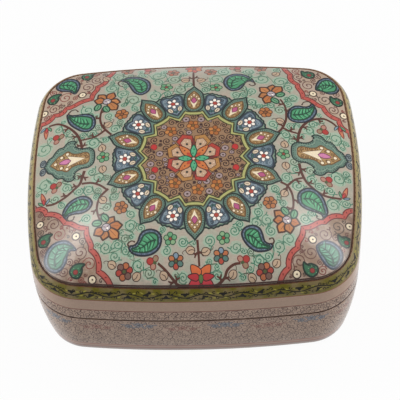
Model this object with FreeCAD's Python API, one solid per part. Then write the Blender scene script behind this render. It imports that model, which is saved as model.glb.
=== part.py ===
import FreeCAD, Part
import os
from math import atan2, cos, hypot, pi, sin, sqrt

# A small painted wooden box with bowed sides, rounded corners and a lift-off pillow-topped lid.
# Millimetres, +Z up, +X to the right, +Y to the back, origin on the table under the middle.

# Outside shape, over the paint
box_width = 152.0
box_depth = 129.0
corner_radius = 23.0
front_bow_radius = 500.0
side_bow_radius = 295.0
base_inset = 4.7
body_height = 34.5
widest_above_seam = 8.0
rim_height = 16.0
shoulder_rise = 6.0
crown_edge_inset = 3.0
shoulder_bulge = 0.5
crown_rise = 14.5
crown_fullness = 2.8
crown_corner_softness = 1.5

# Timber
wall_thickness = 10.5
inner_corner_radius = 14.0
post_reach = 15.5
bottom_board_thickness = 5.0
crown_wall = 5.5

# Paint over gesso, and the open lines in it
paint_thickness = 0.7
seam_gap = 0.36
crown_groove = 0.3

# Collar that the lid drops over
collar_thickness = 2.2
collar_rise = 4.5
collar_clearance = 0.3
collar_edge_round = 0.6

# Linings
base_felt_thickness = 0.8
base_felt_margin = 1.2
floor_card_thickness = 1.0
floor_velvet_thickness = 1.2
lining_clearance = 0.2
lid_velvet_thickness = 0.9

# Dowels between walls and corner posts, and between the lid's rails and its crown
dowel_diameter = 2.5
dowel_length = 12.0
dowel_from_inside = 2.4
dowel_bore_clearance = 0.1
dowel_edge_distance = 9.0

# Panel pins, driven in level from outside under the paint, and the places of pins and crown dowels
pin_diameter = 1.1
pin_length = 12.0
pin_bore_clearance = 0.1
pin_sink = 0.3
crown_dowel_length = 9.0
front_fixing_spacing = 36.0
side_fixing_spacing = 40.0

# Worked out from the sizes above
seam_height = body_height
widest_height = seam_height + widest_above_seam
shoulder_height = seam_height + rim_height
crown_edge_height = shoulder_height + shoulder_rise
half_width = box_width / 2
half_depth = box_depth / 2
inner_half_width = half_width - wall_thickness
inner_half_depth = half_depth - wall_thickness
joint_x = inner_half_width - post_reach
joint_y = inner_half_depth - post_reach
wall_bottom = base_felt_thickness
floor_board_top = wall_bottom + bottom_board_thickness
belly_radius = (widest_height ** 2 + base_inset ** 2) / (2 * base_inset)
crown_top = crown_edge_height + crown_rise
collar_top = seam_height + collar_rise
dowel_bore = dowel_diameter + dowel_bore_clearance
pin_bore = pin_diameter + pin_bore_clearance
bottom_pin_height = wall_bottom + bottom_board_thickness / 2
front_fixing_places = (-front_fixing_spacing, 0, front_fixing_spacing)
side_fixing_places = (-side_fixing_spacing / 2, side_fixing_spacing / 2)
beyond = 5.0
section_count = 7
crown_columns = 41
crown_rows = 35

Vector = FreeCAD.Vector
up = Vector(0, 0, 1)


# Plan outline: four long arcs for the sides, joined by four tangent corner arcs

front_arc_centre = Vector(0, front_bow_radius - half_depth, 0)
right_arc_centre = Vector(half_width - side_bow_radius, 0, 0)


def corner_arc_centre():
    """Centre of the front right corner arc, tangent inside the front and right arcs."""
    front_reach = front_bow_radius - corner_radius
    right_reach = side_bow_radius - corner_radius
    between = right_arc_centre - front_arc_centre
    span = between.Length
    along = (front_reach ** 2 - right_reach ** 2 + span ** 2) / (2 * span)
    aside = sqrt(front_reach ** 2 - along ** 2)
    direction = between / span
    sideways = Vector(-direction.y, direction.x, 0)
    return front_arc_centre + direction * along + sideways * aside


corner_centre = corner_arc_centre()


def mirrored(point, side_x, side_y):
    return Vector(point.x * side_x, point.y * side_y, point.z)


def outline_wire(inset, height):
    """The plan outline, moved inward by inset, as a wire of eight arcs at a height."""
    from_front = (corner_centre - front_arc_centre).normalize()
    from_right = (corner_centre - right_arc_centre).normalize()
    front_end = front_arc_centre + from_front * (front_bow_radius - inset)
    side_end = right_arc_centre + from_right * (side_bow_radius - inset)
    middle = (from_front + from_right).normalize()
    corner_middle = corner_centre + middle * (corner_radius - inset)
    front_middle = Vector(0, inset - half_depth, 0)
    side_middle = Vector(half_width - inset, 0, 0)
    lift = Vector(0, 0, height)

    def arc(start, through, end):
        return Part.Arc(start + lift, through + lift, end + lift).toShape()

    def corner(side_x, side_y, reverse):
        ends = [mirrored(front_end, side_x, side_y), mirrored(side_end, side_x, side_y)]
        if reverse:
            ends.reverse()
        return arc(ends[0], mirrored(corner_middle, side_x, side_y), ends[1])

    front_arc = arc(mirrored(front_end, -1, 1), front_middle, front_end)
    right_arc = arc(side_end, side_middle, mirrored(side_end, 1, -1))
    back_arc = arc(mirrored(front_end, 1, -1), mirrored(front_middle, 1, -1), mirrored(front_end, -1, -1))
    left_arc = arc(mirrored(side_end, -1, -1), mirrored(side_middle, -1, 1), mirrored(side_end, -1, 1))
    return Part.Wire([
        front_arc, corner(1, 1, False), right_arc, corner(1, -1, True),
        back_arc, corner(-1, -1, False), left_arc, corner(-1, 1, True),
    ])


def outline_prism(inset, low, high):
    return Part.Face(outline_wire(inset, low)).extrude(up * (high - low))


def rounded_prism(half_x, half_y, radius, low, high):
    """A plain rounded rectangle with straight sides, standing from low to high."""
    block = Part.makeBox(2 * half_x, 2 * half_y, high - low, Vector(-half_x, -half_y, low))
    upright = [edge for edge in block.Edges if abs(edge.tangentAt(edge.FirstParameter).z) > 0.9]
    return block.makeFillet(radius, upright)


def inner_prism(shrink, low, high):
    """The hollow inside the walls, made smaller all round by shrink."""
    radius = inner_corner_radius - shrink
    return rounded_prism(inner_half_width - shrink, inner_half_depth - shrink, radius, low, high)


# Side profile: one long belly arc up to the shoulder, then a short rounded shoulder

def belly_inset(height):
    drop = height - widest_height
    return belly_radius - sqrt(belly_radius ** 2 - drop ** 2)


def shoulder_inset(height):
    share = (height - shoulder_height) / (crown_edge_height - shoulder_height)
    straight = belly_inset(shoulder_height) * (1 - share) + crown_edge_inset * share
    return straight - 4 * shoulder_bulge * share * (1 - share)


def side_loft(inset_at, low, high, extra):
    """The solid inside a side profile, with extra taken off all round."""
    wires = []
    for step in range(section_count):
        height = low + (high - low) * step / (section_count - 1)
        wires.append(outline_wire(inset_at(height) + extra, height))
    return Part.makeLoft(wires, True, False)


# Crown: a pillow that meets the edge outline level all round

def edge_distance(angle):
    """How far the crown's edge outline is from the middle, in a direction of the plan."""
    x = abs(cos(angle))
    y = abs(sin(angle))
    direction = Vector(x, -y, 0)

    def reach(centre, radius):
        along = centre.dot(direction)
        return along + sqrt(along ** 2 - centre.dot(centre) + radius ** 2)

    def turn(point):
        return atan2(-point.y, point.x)

    from_front = (corner_centre - front_arc_centre).normalize()
    from_right = (corner_centre - right_arc_centre).normalize()
    front_end = corner_centre + from_front * (corner_radius - crown_edge_inset)
    side_end = corner_centre + from_right * (corner_radius - crown_edge_inset)
    here = atan2(y, x)
    if here > turn(front_end):
        return reach(front_arc_centre, front_bow_radius - crown_edge_inset)
    if here < turn(side_end):
        return reach(right_arc_centre, side_bow_radius - crown_edge_inset)
    return reach(corner_centre, corner_radius - crown_edge_inset)


def crown_height(x, y):
    outward = hypot(x, y) / edge_distance(atan2(y, x))
    oval = hypot(x / (half_width - crown_edge_inset), y / (half_depth - crown_edge_inset))
    edge_share = outward ** crown_corner_softness
    level = edge_share * outward ** 2 + (1 - edge_share) * oval ** 2
    return crown_edge_height + crown_rise * (1 - level ** (crown_fullness / 2))


def crown_surface():
    points = []
    for row in range(crown_rows):
        y = -half_depth + box_depth * row / (crown_rows - 1)
        line = []
        for column in range(crown_columns):
            x = -half_width + box_width * column / (crown_columns - 1)
            line.append(Vector(x, y, crown_height(x, y)))
        points.append(line)
    surface = Part.BSplineSurface()
    surface.interpolate(points)
    return surface.toShape()


crown_face = crown_surface()


def above_crown(drop):
    """Everything over the crown's surface, lowered by drop."""
    face = crown_face.copy()
    face.translate(Vector(0, 0, -drop))
    return face.extrude(up * (2 * crown_rise + drop + beyond))


def below_crown(drop):
    """Everything under the crown's surface, lowered by drop."""
    face = crown_face.copy()
    face.translate(Vector(0, 0, -drop))
    return face.extrude(up * -(2 * crown_rise + drop + beyond))


# Fastenings

def rod(diameter, length, start, direction):
    return Part.makeCylinder(diameter / 2, length, start, direction)


def joint_dowels(heights, diameter):
    """Level dowels across the eight wall to post joints, one at each height."""
    rods = []
    for side_x in (-1, 1):
        for side_y in (-1, 1):
            for height in heights:
                y = side_y * (inner_half_depth + dowel_from_inside)
                x = side_x * (inner_half_width + dowel_from_inside)
                start = Vector(side_x * joint_x - dowel_length / 2, y, height)
                rods.append(rod(diameter, dowel_length, start, Vector(1, 0, 0)))
                start = Vector(x, side_y * joint_y - dowel_length / 2, height)
                rods.append(rod(diameter, dowel_length, start, Vector(0, 1, 0)))
    return rods


def bottom_pins(diameter):
    """Pins driven inward through the walls into the bottom board's edges."""
    rods = []
    for side in (-1, 1):
        for x in front_fixing_places:
            y = bow_reach(front_bow_radius, half_depth, x) * side
            rods.append(rod(diameter, pin_length, Vector(x, y, bottom_pin_height), Vector(0, -side, 0)))
        for y in side_fixing_places:
            x = bow_reach(side_bow_radius, half_width, y) * side
            rods.append(rod(diameter, pin_length, Vector(x, y, bottom_pin_height), Vector(-side, 0, 0)))
    return rods


def bow_reach(bow_radius, half_size, aside):
    """Distance from the middle to the head of a pin, sunk in the timber of a bowed wall."""
    head_radius = bow_radius - belly_inset(bottom_pin_height) - paint_thickness - pin_sink
    return half_size - bow_radius + sqrt(head_radius ** 2 - aside ** 2)


def crown_dowels(diameter):
    """Upright dowels, half in the rails and half in the crown."""
    low = shoulder_height - crown_dowel_length / 2
    rods = []
    for side in (-1, 1):
        for x in front_fixing_places:
            y = side * (inner_half_depth + dowel_from_inside)
            rods.append(rod(diameter, crown_dowel_length, Vector(x, y, low), up))
        for y in side_fixing_places:
            x = side * (inner_half_width + dowel_from_inside)
            rods.append(rod(diameter, crown_dowel_length, Vector(x, y, low), up))
    return rods


# Splitting a ring of timber into walls and corner posts

def split_ring(ring, low, high):
    """Front, back, left and right walls and the four corner posts, by name."""
    height = high - low
    reach_x = half_width + beyond
    reach_y = half_depth + beyond
    front_box = Part.makeBox(2 * joint_x, reach_y, height, Vector(-joint_x, -reach_y, low))
    back_box = Part.makeBox(2 * joint_x, reach_y, height, Vector(-joint_x, 0, low))
    left_box = Part.makeBox(reach_x, 2 * joint_y, height, Vector(-reach_x, -joint_y, low))
    right_box = Part.makeBox(reach_x, 2 * joint_y, height, Vector(0, -joint_y, low))
    pieces = {
        "front": ring.common(front_box),
        "back": ring.common(back_box),
        "left": ring.common(left_box),
        "right": ring.common(right_box),
    }
    post_size_x = reach_x - joint_x
    post_size_y = reach_y - joint_y
    for name_y, low_y in (("front", -reach_y), ("back", joint_y)):
        for name_x, low_x in (("left", -reach_x), ("right", joint_x)):
            corner_box = Part.makeBox(post_size_x, post_size_y, height, Vector(low_x, low_y, low))
            pieces[name_y + "_" + name_x] = ring.common(corner_box)
    return pieces


def cut_all(shape, tools):
    """The shape less every tool that reaches it."""
    near = [tool for tool in tools if tool.BoundBox.intersect(shape.BoundBox)]
    if not near:
        return shape
    return shape.cut(near)


# Box body

body_dowel_heights = (floor_board_top + dowel_edge_distance, seam_height - dowel_edge_distance)


def body_timber():
    solid = side_loft(belly_inset, wall_bottom, seam_height, paint_thickness)
    ring = solid.cut(inner_prism(0, wall_bottom - beyond, seam_height + beyond))
    bores = joint_dowels(body_dowel_heights, dowel_bore) + bottom_pins(pin_bore)
    pieces = split_ring(ring, wall_bottom - beyond, seam_height + beyond)
    return {name: cut_all(piece, bores) for name, piece in pieces.items()}


def bottom_board():
    return cut_all(inner_prism(0, wall_bottom, floor_board_top), bottom_pins(pin_bore))


def locating_collar():
    """A bent liner inside the walls, set back by the lid's clearance above the seam."""
    inner = collar_thickness + collar_clearance
    lower = inner_prism(0, floor_board_top, seam_height)
    upper = inner_prism(collar_clearance, seam_height, collar_top)
    upper = upper.makeChamfer(collar_edge_round, top_outer_edges(upper, collar_top))
    return lower.fuse(upper).cut(inner_prism(inner, floor_board_top - beyond, collar_top + beyond))


def top_outer_edges(shape, height):
    return [edge for edge in shape.Edges if edge.BoundBox.ZMin > height - 0.001]


def body_paint():
    low = wall_bottom
    high = seam_height - seam_gap / 2
    outside = side_loft(belly_inset, low, high, 0)
    inside = side_loft(belly_inset, low - beyond / 10, seam_height, paint_thickness)
    return outside.cut(inside)


# Lid

lid_dowel_heights = ((seam_height + shoulder_height) / 2,)


def lid_timber():
    solid = side_loft(belly_inset, seam_height, shoulder_height, paint_thickness)
    ring = solid.cut(inner_prism(0, seam_height - beyond, shoulder_height + beyond))
    bores = joint_dowels(lid_dowel_heights, dowel_bore) + crown_dowels(dowel_bore)
    pieces = split_ring(ring, seam_height - beyond, shoulder_height + beyond)
    return {name: cut_all(piece, bores) for name, piece in pieces.items()}


def crown_panel():
    """A thick board with a rounded edge, worked to a pillow above and hollowed below."""
    edge = side_loft(shoulder_inset, shoulder_height, crown_edge_height, paint_thickness)
    pillow = outline_prism(crown_edge_inset + paint_thickness, crown_edge_height, crown_top + beyond)
    board = edge.fuse(pillow).cut(above_crown(paint_thickness))
    hollow = inner_prism(0, shoulder_height - beyond, crown_top).common(below_crown(paint_thickness + crown_wall))
    return cut_all(board.cut(hollow), crown_dowels(dowel_bore))


def lid_velvet():
    """Lining under the hollow of the crown."""
    top = paint_thickness + crown_wall
    outline = inner_prism(lining_clearance, shoulder_height - beyond, crown_top)
    return outline.common(below_crown(top)).cut(below_crown(top + lid_velvet_thickness))


def rim_paint():
    low = seam_height + seam_gap / 2
    side = side_loft(belly_inset, low, shoulder_height, 0)
    side = side.cut(side_loft(belly_inset, seam_height, shoulder_height + beyond / 10, paint_thickness))
    shoulder = side_loft(shoulder_inset, shoulder_height, crown_edge_height, 0)
    shoulder = shoulder.cut(side_loft(shoulder_inset, shoulder_height, crown_edge_height, paint_thickness))
    return side.fuse(shoulder)


def crown_paint():
    inset = crown_edge_inset + paint_thickness + crown_groove
    block = outline_prism(inset, shoulder_height, crown_top + beyond)
    return block.cut(above_crown(0)).cut(below_crown(paint_thickness))


# Writing the pieces

def write(name, shape):
    """One step file for each node; a group of like pieces stays a compound of separate solids."""
    if isinstance(shape, list):
        shape = Part.makeCompound(shape)
    elif len(shape.Solids) == 1:
        shape = shape.Solids[0]
    shape.exportStep(os.path.join("parts", name + ".step"))
    print(name, len(shape.Solids), round(shape.Volume / 1000, 3), shape.isValid())


os.makedirs("parts", exist_ok=True)

for place, timber in body_timber().items():
    write(place + ("_post" if "_" in place else "_wall"), timber)
write("wall_dowels", joint_dowels(body_dowel_heights, dowel_diameter))
write("bottom_board", bottom_board())
write("bottom_pins", bottom_pins(pin_diameter))
write("base_felt", outline_prism(base_inset + paint_thickness + base_felt_margin, 0, wall_bottom))
write("locating_collar", locating_collar())
lining_shrink = collar_thickness + collar_clearance + lining_clearance
floor_card_top = floor_board_top + floor_card_thickness
write("floor_card", inner_prism(lining_shrink, floor_board_top, floor_card_top))
write("floor_velvet", inner_prism(lining_shrink, floor_card_top, floor_card_top + floor_velvet_thickness))
write("body_paint_skin", body_paint())

for place, timber in lid_timber().items():
    write("lid_" + place + ("_block" if "_" in place else "_rail"), timber)
write("lid_dowels", joint_dowels(lid_dowel_heights, dowel_diameter))
write("crown_panel", crown_panel())
write("crown_dowels", crown_dowels(dowel_diameter))
write("lid_velvet", lid_velvet())
write("rim_paint_skin", rim_paint())
write("crown_paint_skin", crown_paint())
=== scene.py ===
import math
import random

import bpy
import numpy as np
from mathutils import Matrix, Vector
from mathutils.geometry import delaunay_2d_cdt


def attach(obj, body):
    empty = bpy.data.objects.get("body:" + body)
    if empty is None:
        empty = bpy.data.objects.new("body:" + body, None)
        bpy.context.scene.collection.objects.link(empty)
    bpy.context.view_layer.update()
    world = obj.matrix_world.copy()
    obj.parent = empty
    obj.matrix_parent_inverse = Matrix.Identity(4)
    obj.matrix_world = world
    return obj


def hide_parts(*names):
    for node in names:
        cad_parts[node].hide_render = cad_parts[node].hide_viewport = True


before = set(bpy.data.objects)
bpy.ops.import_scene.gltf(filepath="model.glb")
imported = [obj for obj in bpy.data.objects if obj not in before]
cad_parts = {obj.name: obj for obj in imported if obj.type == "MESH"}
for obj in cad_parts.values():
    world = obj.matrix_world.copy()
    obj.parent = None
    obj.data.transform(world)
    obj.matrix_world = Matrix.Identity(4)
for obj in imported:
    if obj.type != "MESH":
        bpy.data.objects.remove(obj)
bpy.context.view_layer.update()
scene = bpy.context.scene
scene.view_settings.view_transform = "Standard"
MM = 0.001
import time
t0 = time.time()


def clock(what):
    print("CLOCK %6.1f %s" % (time.time() - t0, what))


# Driving sizes of the box, in millimetres, as in the solids.
half_width = 76.0
half_depth = 64.5
corner_radius = 23.0
front_bow_radius = 500.0
side_bow_radius = 295.0
base_inset = 4.7
seam_height = 34.5
widest_height = 42.5
shoulder_height = 50.5
crown_edge_height = 56.5
crown_edge_inset = 3.0
shoulder_bulge = 0.5
crown_rise = 14.5
crown_power = 1.4
crown_corner_softness = 1.5
crown_skin_inset = 4.0
paint_thickness = 0.7
seam_gap = 0.36


# ---------------------------------------------------------------- outline in plan
def corner_centre():
    front_reach = front_bow_radius - corner_radius
    right_reach = side_bow_radius - corner_radius
    front = Vector((0.0, front_bow_radius - half_depth))
    right = Vector((half_width - side_bow_radius, 0.0))
    between = right - front
    span = between.length
    along = (front_reach ** 2 - right_reach ** 2 + span ** 2) / (2 * span)
    aside = math.sqrt(front_reach ** 2 - along ** 2)
    way = between.normalized()
    return front + way * along + Vector((-way.y, way.x)) * aside


def perimeter_table(step=0.02):
    corner = corner_centre()
    cx, cy = abs(corner.x), abs(corner.y)
    front_y = front_bow_radius - half_depth
    right_x = half_width - side_bow_radius
    bow = math.atan2(cx, front_y + cy)
    side = math.atan2(cy, cx - right_x)
    quarter = math.pi / 2
    arcs = [
        (0.0, -front_y, front_bow_radius, quarter, quarter + bow),
        (-cx, cy, corner_radius, quarter + bow, 2 * quarter - side),
        (-right_x, 0.0, side_bow_radius, 2 * quarter - side, 2 * quarter + side),
        (-cx, -cy, corner_radius, 2 * quarter + side, 3 * quarter - bow),
        (0.0, front_y, front_bow_radius, 3 * quarter - bow, 3 * quarter + bow),
        (cx, -cy, corner_radius, 3 * quarter + bow, 4 * quarter - side),
        (right_x, 0.0, side_bow_radius, 4 * quarter - side, 4 * quarter + side),
        (cx, cy, corner_radius, 4 * quarter + side, 5 * quarter - bow),
        (0.0, -front_y, front_bow_radius, 5 * quarter - bow, 5 * quarter),
    ]
    rows = []
    travelled = 0.0
    for x0, y0, radius, start, end in arcs:
        count = max(8, int((end - start) / step) + 1, int(radius * (end - start) / 0.5))
        for k in range(count):
            a = start + (end - start) * k / count
            rows.append((travelled + radius * (a - start), x0 + radius * math.cos(a),
                         y0 + radius * math.sin(a), math.cos(a), math.sin(a)))
        travelled += radius * (end - start)
    first = rows[0]
    rows.append((travelled, first[1], first[2], first[3], first[4]))
    return np.array(rows), travelled


around, perimeter = perimeter_table()


def on_outline(s, inset):
    s = np.mod(s, perimeter)
    x, y, nx, ny = (np.interp(s, around[:, 0], around[:, k]) for k in (1, 2, 3, 4))
    length = np.hypot(nx, ny)
    return x - nx / length * inset, y - ny / length * inset


def edge_reach(inset):
    x = around[:-1, 1] - around[:-1, 3] * inset
    y = around[:-1, 2] - around[:-1, 4] * inset
    angle = np.arctan2(y, x)
    order = np.argsort(angle)
    angle, reach = angle[order], np.hypot(x, y)[order]
    angle = np.concatenate([angle[-1:] - 2 * math.pi, angle, angle[:1] + 2 * math.pi])
    reach = np.concatenate([reach[-1:], reach, reach[:1]])
    return lambda x, y: np.interp(np.arctan2(y, x), angle, reach)


crown_reach = edge_reach(crown_edge_inset)
skin_reach = edge_reach(crown_skin_inset)
belly_radius = (widest_height ** 2 + base_inset ** 2) / (2 * base_inset)


def belly_inset(z):
    return belly_radius - np.sqrt(belly_radius ** 2 - (z - widest_height) ** 2)


def shoulder_inset(z):
    share = (z - shoulder_height) / (crown_edge_height - shoulder_height)
    start = belly_inset(shoulder_height)
    return start * (1 - share) + crown_edge_inset * share - 4 * shoulder_bulge * share * (1 - share)


def crown_height(x, y):
    outward = np.hypot(x, y) / crown_reach(x, y)
    oval = np.hypot(x / (half_width - crown_edge_inset), y / (half_depth - crown_edge_inset))
    share = outward ** crown_corner_softness
    level = share * outward ** 2 + (1 - share) * oval ** 2
    return crown_edge_height + crown_rise * (1 - level ** crown_power)


# ---------------------------------------------------------------- brush tools
def srgb(r, g, b):
    def one(v):
        v = v / 255.0
        return v / 12.92 if v <= 0.04045 else ((v + 0.055) / 1.055) ** 2.4
    return (one(r), one(g), one(b))


def place(x=0.0, y=0.0, turn=0.0, size=1.0, flip=False, stretch=(1.0, 1.0)):
    """A brush position: turns, mirrors and moves local points onto the painting."""
    c, s = math.cos(turn), math.sin(turn)
    m = -1.0 if flip else 1.0

    def move(u, v):
        v = v * m
        return (stretch[0] * (x + size * (c * u - s * v)), stretch[1] * (y + size * (s * u + c * v)))
    return move


def smooth(points, closed=False, steps=4):
    n = len(points)
    out = []
    last = n if closed else n - 1
    for i in range(last):
        p1, p2 = points[i], points[(i + 1) % n]
        p0 = points[i - 1] if closed or i > 0 else p1
        p3 = points[(i + 2) % n] if closed or i + 2 < n else p2
        for k in range(steps):
            t = k / steps
            out.append(tuple(
                0.5 * (2 * b + (c - a) * t + (2 * a - 5 * b + 4 * c - d) * t * t
                       + (3 * b - a - 3 * c + d) * t ** 3)
                for a, b, c, d in zip(p0, p1, p2, p3)))
    if not closed:
        out.append(tuple(points[-1]))
    return out


def oval(u, v, a, b, turn=0.0, sides=12):
    c, s = math.cos(turn), math.sin(turn)
    out = []
    for k in range(sides):
        w = 2 * math.pi * k / sides
        p, q = a * math.cos(w), b * math.sin(w)
        out.append((u + c * p - s * q, v + s * p + c * q))
    return out


def curl(radius, turns, start=0.0, inner=0.12, steps=14):
    """A spiral from its eye outwards, in local points."""
    count = max(6, int(steps * turns))
    out = []
    for k in range(count + 1):
        t = k / count
        r = radius * (inner + (1 - inner) * t ** 0.85)
        w = start - 2 * math.pi * turns * (1 - t)
        out.append((r * math.cos(w), r * math.sin(w)))
    return out


def area_of(points):
    return sum(a[0] * b[1] - b[0] * a[1] for a, b in zip(points, points[1:] + points[:1])) / 2


class Painting:
    def __init__(self, boundary, colour, wash=0.0):
        self.points, self.faces, self.paints = [], [], []
        self.area(boundary, colour, wash)

    def area(self, points, colour, wash=0.0):
        clean = []
        for p in points:
            if not clean or abs(p[0] - clean[-1][0]) + abs(p[1] - clean[-1][1]) > 2e-3:
                clean.append((float(p[0]), float(p[1])))
        turn = sum(a[0] * b[1] - b[0] * a[1] for a, b in zip(clean, clean[1:] + clean[:1]))
        if len(clean) < 3 or abs(turn) < 2e-3:
            return
        if turn < 0:
            clean.reverse()
        start = len(self.points)
        self.points += clean
        self.faces.append(list(range(start, start + len(clean))))
        self.paints.append((colour[0], colour[1], colour[2], wash))

    def stroke(self, points, width, colour, closed=False, ends=(1.0, 1.0), wash=0.0):
        sides = self.sides_of(points, width, closed, ends)
        if sides:
            self.ribbon(*sides, colour, closed, wash)

    def sides_of(self, points, width, closed, ends=(1.0, 1.0)):
        p = [(float(q[0]), float(q[1])) for q in points]
        p = [q for i, q in enumerate(p) if i == 0 or math.hypot(q[0] - p[i - 1][0], q[1] - p[i - 1][1]) > 1e-3]
        n = len(p)
        if n < 2:
            return None
        left, right = [], []
        for i in range(n):
            a = p[i - 1] if (closed or i > 0) else p[i]
            b = p[(i + 1) % n] if (closed or i < n - 1) else p[i]
            wx, wy = b[0] - a[0], b[1] - a[1]
            size = max(1e-9, math.hypot(wx, wy))
            t = i / max(1, n - 1)
            w = max(width / 2 * (1.0 if closed else ends[0] + (ends[1] - ends[0]) * t), 0.04) / size
            left.append((p[i][0] - wy * w, p[i][1] + wx * w))
            right.append((p[i][0] + wy * w, p[i][1] - wx * w))
        return left, right

    def ribbon(self, left, right, colour, closed, wash=0.0):
        n = len(left)
        for i in range(n if closed else n - 1):
            j = (i + 1) % n
            quad = [left[i], right[i], right[j], left[j]]
            mx, my = sum(q[0] for q in quad) / 4, sum(q[1] for q in quad) / 4
            quad.sort(key=lambda q: math.atan2(q[1] - my, q[0] - mx))
            self.area(quad, colour, wash)

    def outlined(self, points, fill, line, width, wash=0.0):
        left, right = self.sides_of(points, width, True)
        self.area(left if abs(area_of(left)) > abs(area_of(right)) else right, fill, wash)
        self.ribbon(left, right, line, True)

    def triangles(self, spacing, keep_off=0.3):
        lows = np.min(np.array(self.points)[self.faces[0]], axis=0)
        highs = np.max(np.array(self.points)[self.faces[0]], axis=0)
        grid = [Vector((x, y))
                for x in np.arange(lows[0] + spacing / 2, highs[0] - keep_off, spacing)
                for y in np.arange(lows[1] + spacing / 2, highs[1] - keep_off, spacing)]
        vectors = [Vector(p) for p in self.points] + grid
        found = delaunay_2d_cdt(vectors, [], self.faces, 0, 1e-4)
        verts = np.array([tuple(v) for v in found[0]])
        tris = np.array(found[2])
        a, b, c = (verts[tris[:, k]] for k in range(3))
        sizes = np.abs((b[:, 0] - a[:, 0]) * (c[:, 1] - a[:, 1]) - (b[:, 1] - a[:, 1]) * (c[:, 0] - a[:, 0])) / 2
        covered = np.zeros(len(self.faces))
        for size, origin in zip(sizes, found[5]):
            for f in origin:
                covered[f] += size
        own = np.array([abs(sum(self.points[i][0] * self.points[j][1] - self.points[j][0] * self.points[i][1]
                                for i, j in zip(f, f[1:] + f[:1]))) / 2 for f in self.faces])
        spilt = covered > own * 1.1 + 0.05
        print("faces", len(self.faces), "points", len(self.points), "spilt", int(spilt.sum()))
        kept, owner = [], []
        for tri, origin in zip(found[2], found[5]):
            if 0 in origin:
                kept.append(tri)
                owner.append(max(f for f in origin if not spilt[f]))
        return verts, np.array(kept), np.array(owner)


def boundary_edges(tris):
    seen = {}
    for t in tris:
        for k in range(3):
            seen[(t[k], t[(k + 1) % 3])] = True
    return [e for e in seen if (e[1], e[0]) not in seen]


def loop_of(edges):
    follow = {a: b for a, b in edges}
    start = edges[0][0]
    loop, now = [start], follow[start]
    while now != start:
        loop.append(now)
        now = follow[now]
    return loop


def painted_shell(name, painting, outer, inner, uv, spacing, inner_spacing, welded=False, edge_colour=None, shade=None):
    """A closed skin: a painted outer face, a plain back face, and walls between their rims."""
    clock("art " + name)
    verts, tris, owner = painting.triangles(spacing)
    clock("triangles " + name)
    rim = loop_of(boundary_edges(tris))
    back_painting = Painting([(0, 0), (1, 0), (0, 1)], (0.1, 0.1, 0.1))
    back_painting.points = [tuple(verts[i]) for i in rim]
    back_painting.faces = [list(range(len(rim)))]
    back_in = [Vector(p) for p in back_painting.points]
    lows, highs = verts.min(axis=0), verts.max(axis=0)
    back_in += [Vector((x, y))
                for x in np.arange(lows[0] + inner_spacing / 2, highs[0] - 0.4, inner_spacing)
                for y in np.arange(lows[1] + inner_spacing / 2, highs[1] - 0.4, inner_spacing)]
    found = delaunay_2d_cdt(back_in, [], [list(range(len(rim)))], 0, 1e-4)
    back_verts = np.array([tuple(v) for v in found[0]])
    back_tris = [t for t, origin in zip(found[2], found[5]) if 0 in origin]
    match = {}
    for index, origins in enumerate(found[3]):
        for o in origins:
            if o < len(rim):
                match[rim[o]] = index
    shift = len(verts)
    places = np.vstack([outer(verts[:, 0], verts[:, 1]), inner(back_verts[:, 0], back_verts[:, 1])])
    flat = np.vstack([verts, back_verts])
    merged = list(range(len(places)))
    if welded:
        for first, count in ((0, shift), (shift, len(back_verts))):
            here = flat[first:first + count]
            low = [i for i in range(count) if abs(here[i, 0]) < 1e-3]
            keys = {round(here[i, 1], 2): first + i for i in low}
            for i in range(count):
                if abs(here[i, 0] - perimeter) < 1e-3:
                    merged[first + i] = keys[round(here[i, 1], 2)]
    faces = [tuple(t) for t in tris]
    paints = [painting.paints[o] for o in owner]
    edge_paint = (*edge_colour, 0.0) if edge_colour else painting.paints[0]
    for t in back_tris:
        faces.append(tuple(i + shift for i in reversed(t)))
        paints.append(edge_paint)
    count = len(rim)
    for k in range(count):
        a, b = rim[k], rim[(k + 1) % count]
        on_seam = welded and ((verts[a, 0] < 1e-3 and verts[b, 0] < 1e-3)
                              or (verts[a, 0] > perimeter - 1e-3 and verts[b, 0] > perimeter - 1e-3))
        if not on_seam:
            faces.append((b, a, match[a] + shift, match[b] + shift))
            paints.append(edge_paint)
    used = sorted({merged[i] for f in faces for i in f})
    renumber = {old: new for new, old in enumerate(used)}
    mesh = bpy.data.meshes.new(name)
    mesh.from_pydata([tuple(places[i] * MM) for i in used], [],
                     [tuple(renumber[merged[i]] for i in f) for f in faces])
    mesh.update()
    corner_count = len(mesh.loops)
    colours = np.empty((corner_count, 4), np.float32)
    uvs = np.empty((corner_count, 2), np.float32)
    at = 0
    for f, paint in zip(faces, paints):
        n = len(f)
        colours[at:at + n] = paint
        # painted shade: the shade function, when given, darkens the colour of each face
        if shade is not None:
            colours[at:at + n, :3] *= shade(flat[list(f)])[:, None]
        uvs[at:at + n] = uv(flat[list(f)])
        at += n
    layer = mesh.color_attributes.new("paint", "FLOAT_COLOR", "CORNER")
    layer.data.foreach_set("color", colours.ravel())
    mesh.uv_layers.new(name="OFBake").data.foreach_set("uv", uvs.ravel())
    mesh.polygons.foreach_set("use_smooth", [True] * len(mesh.polygons))
    piece = bpy.data.objects.new(name, mesh)
    scene.collection.objects.link(piece)
    for edge_angle in (math.radians(40),):
        mesh.set_sharp_from_angle(angle=edge_angle)
    print(name, len(mesh.polygons), "faces")
    clock("mesh " + name)
    return piece


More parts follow.
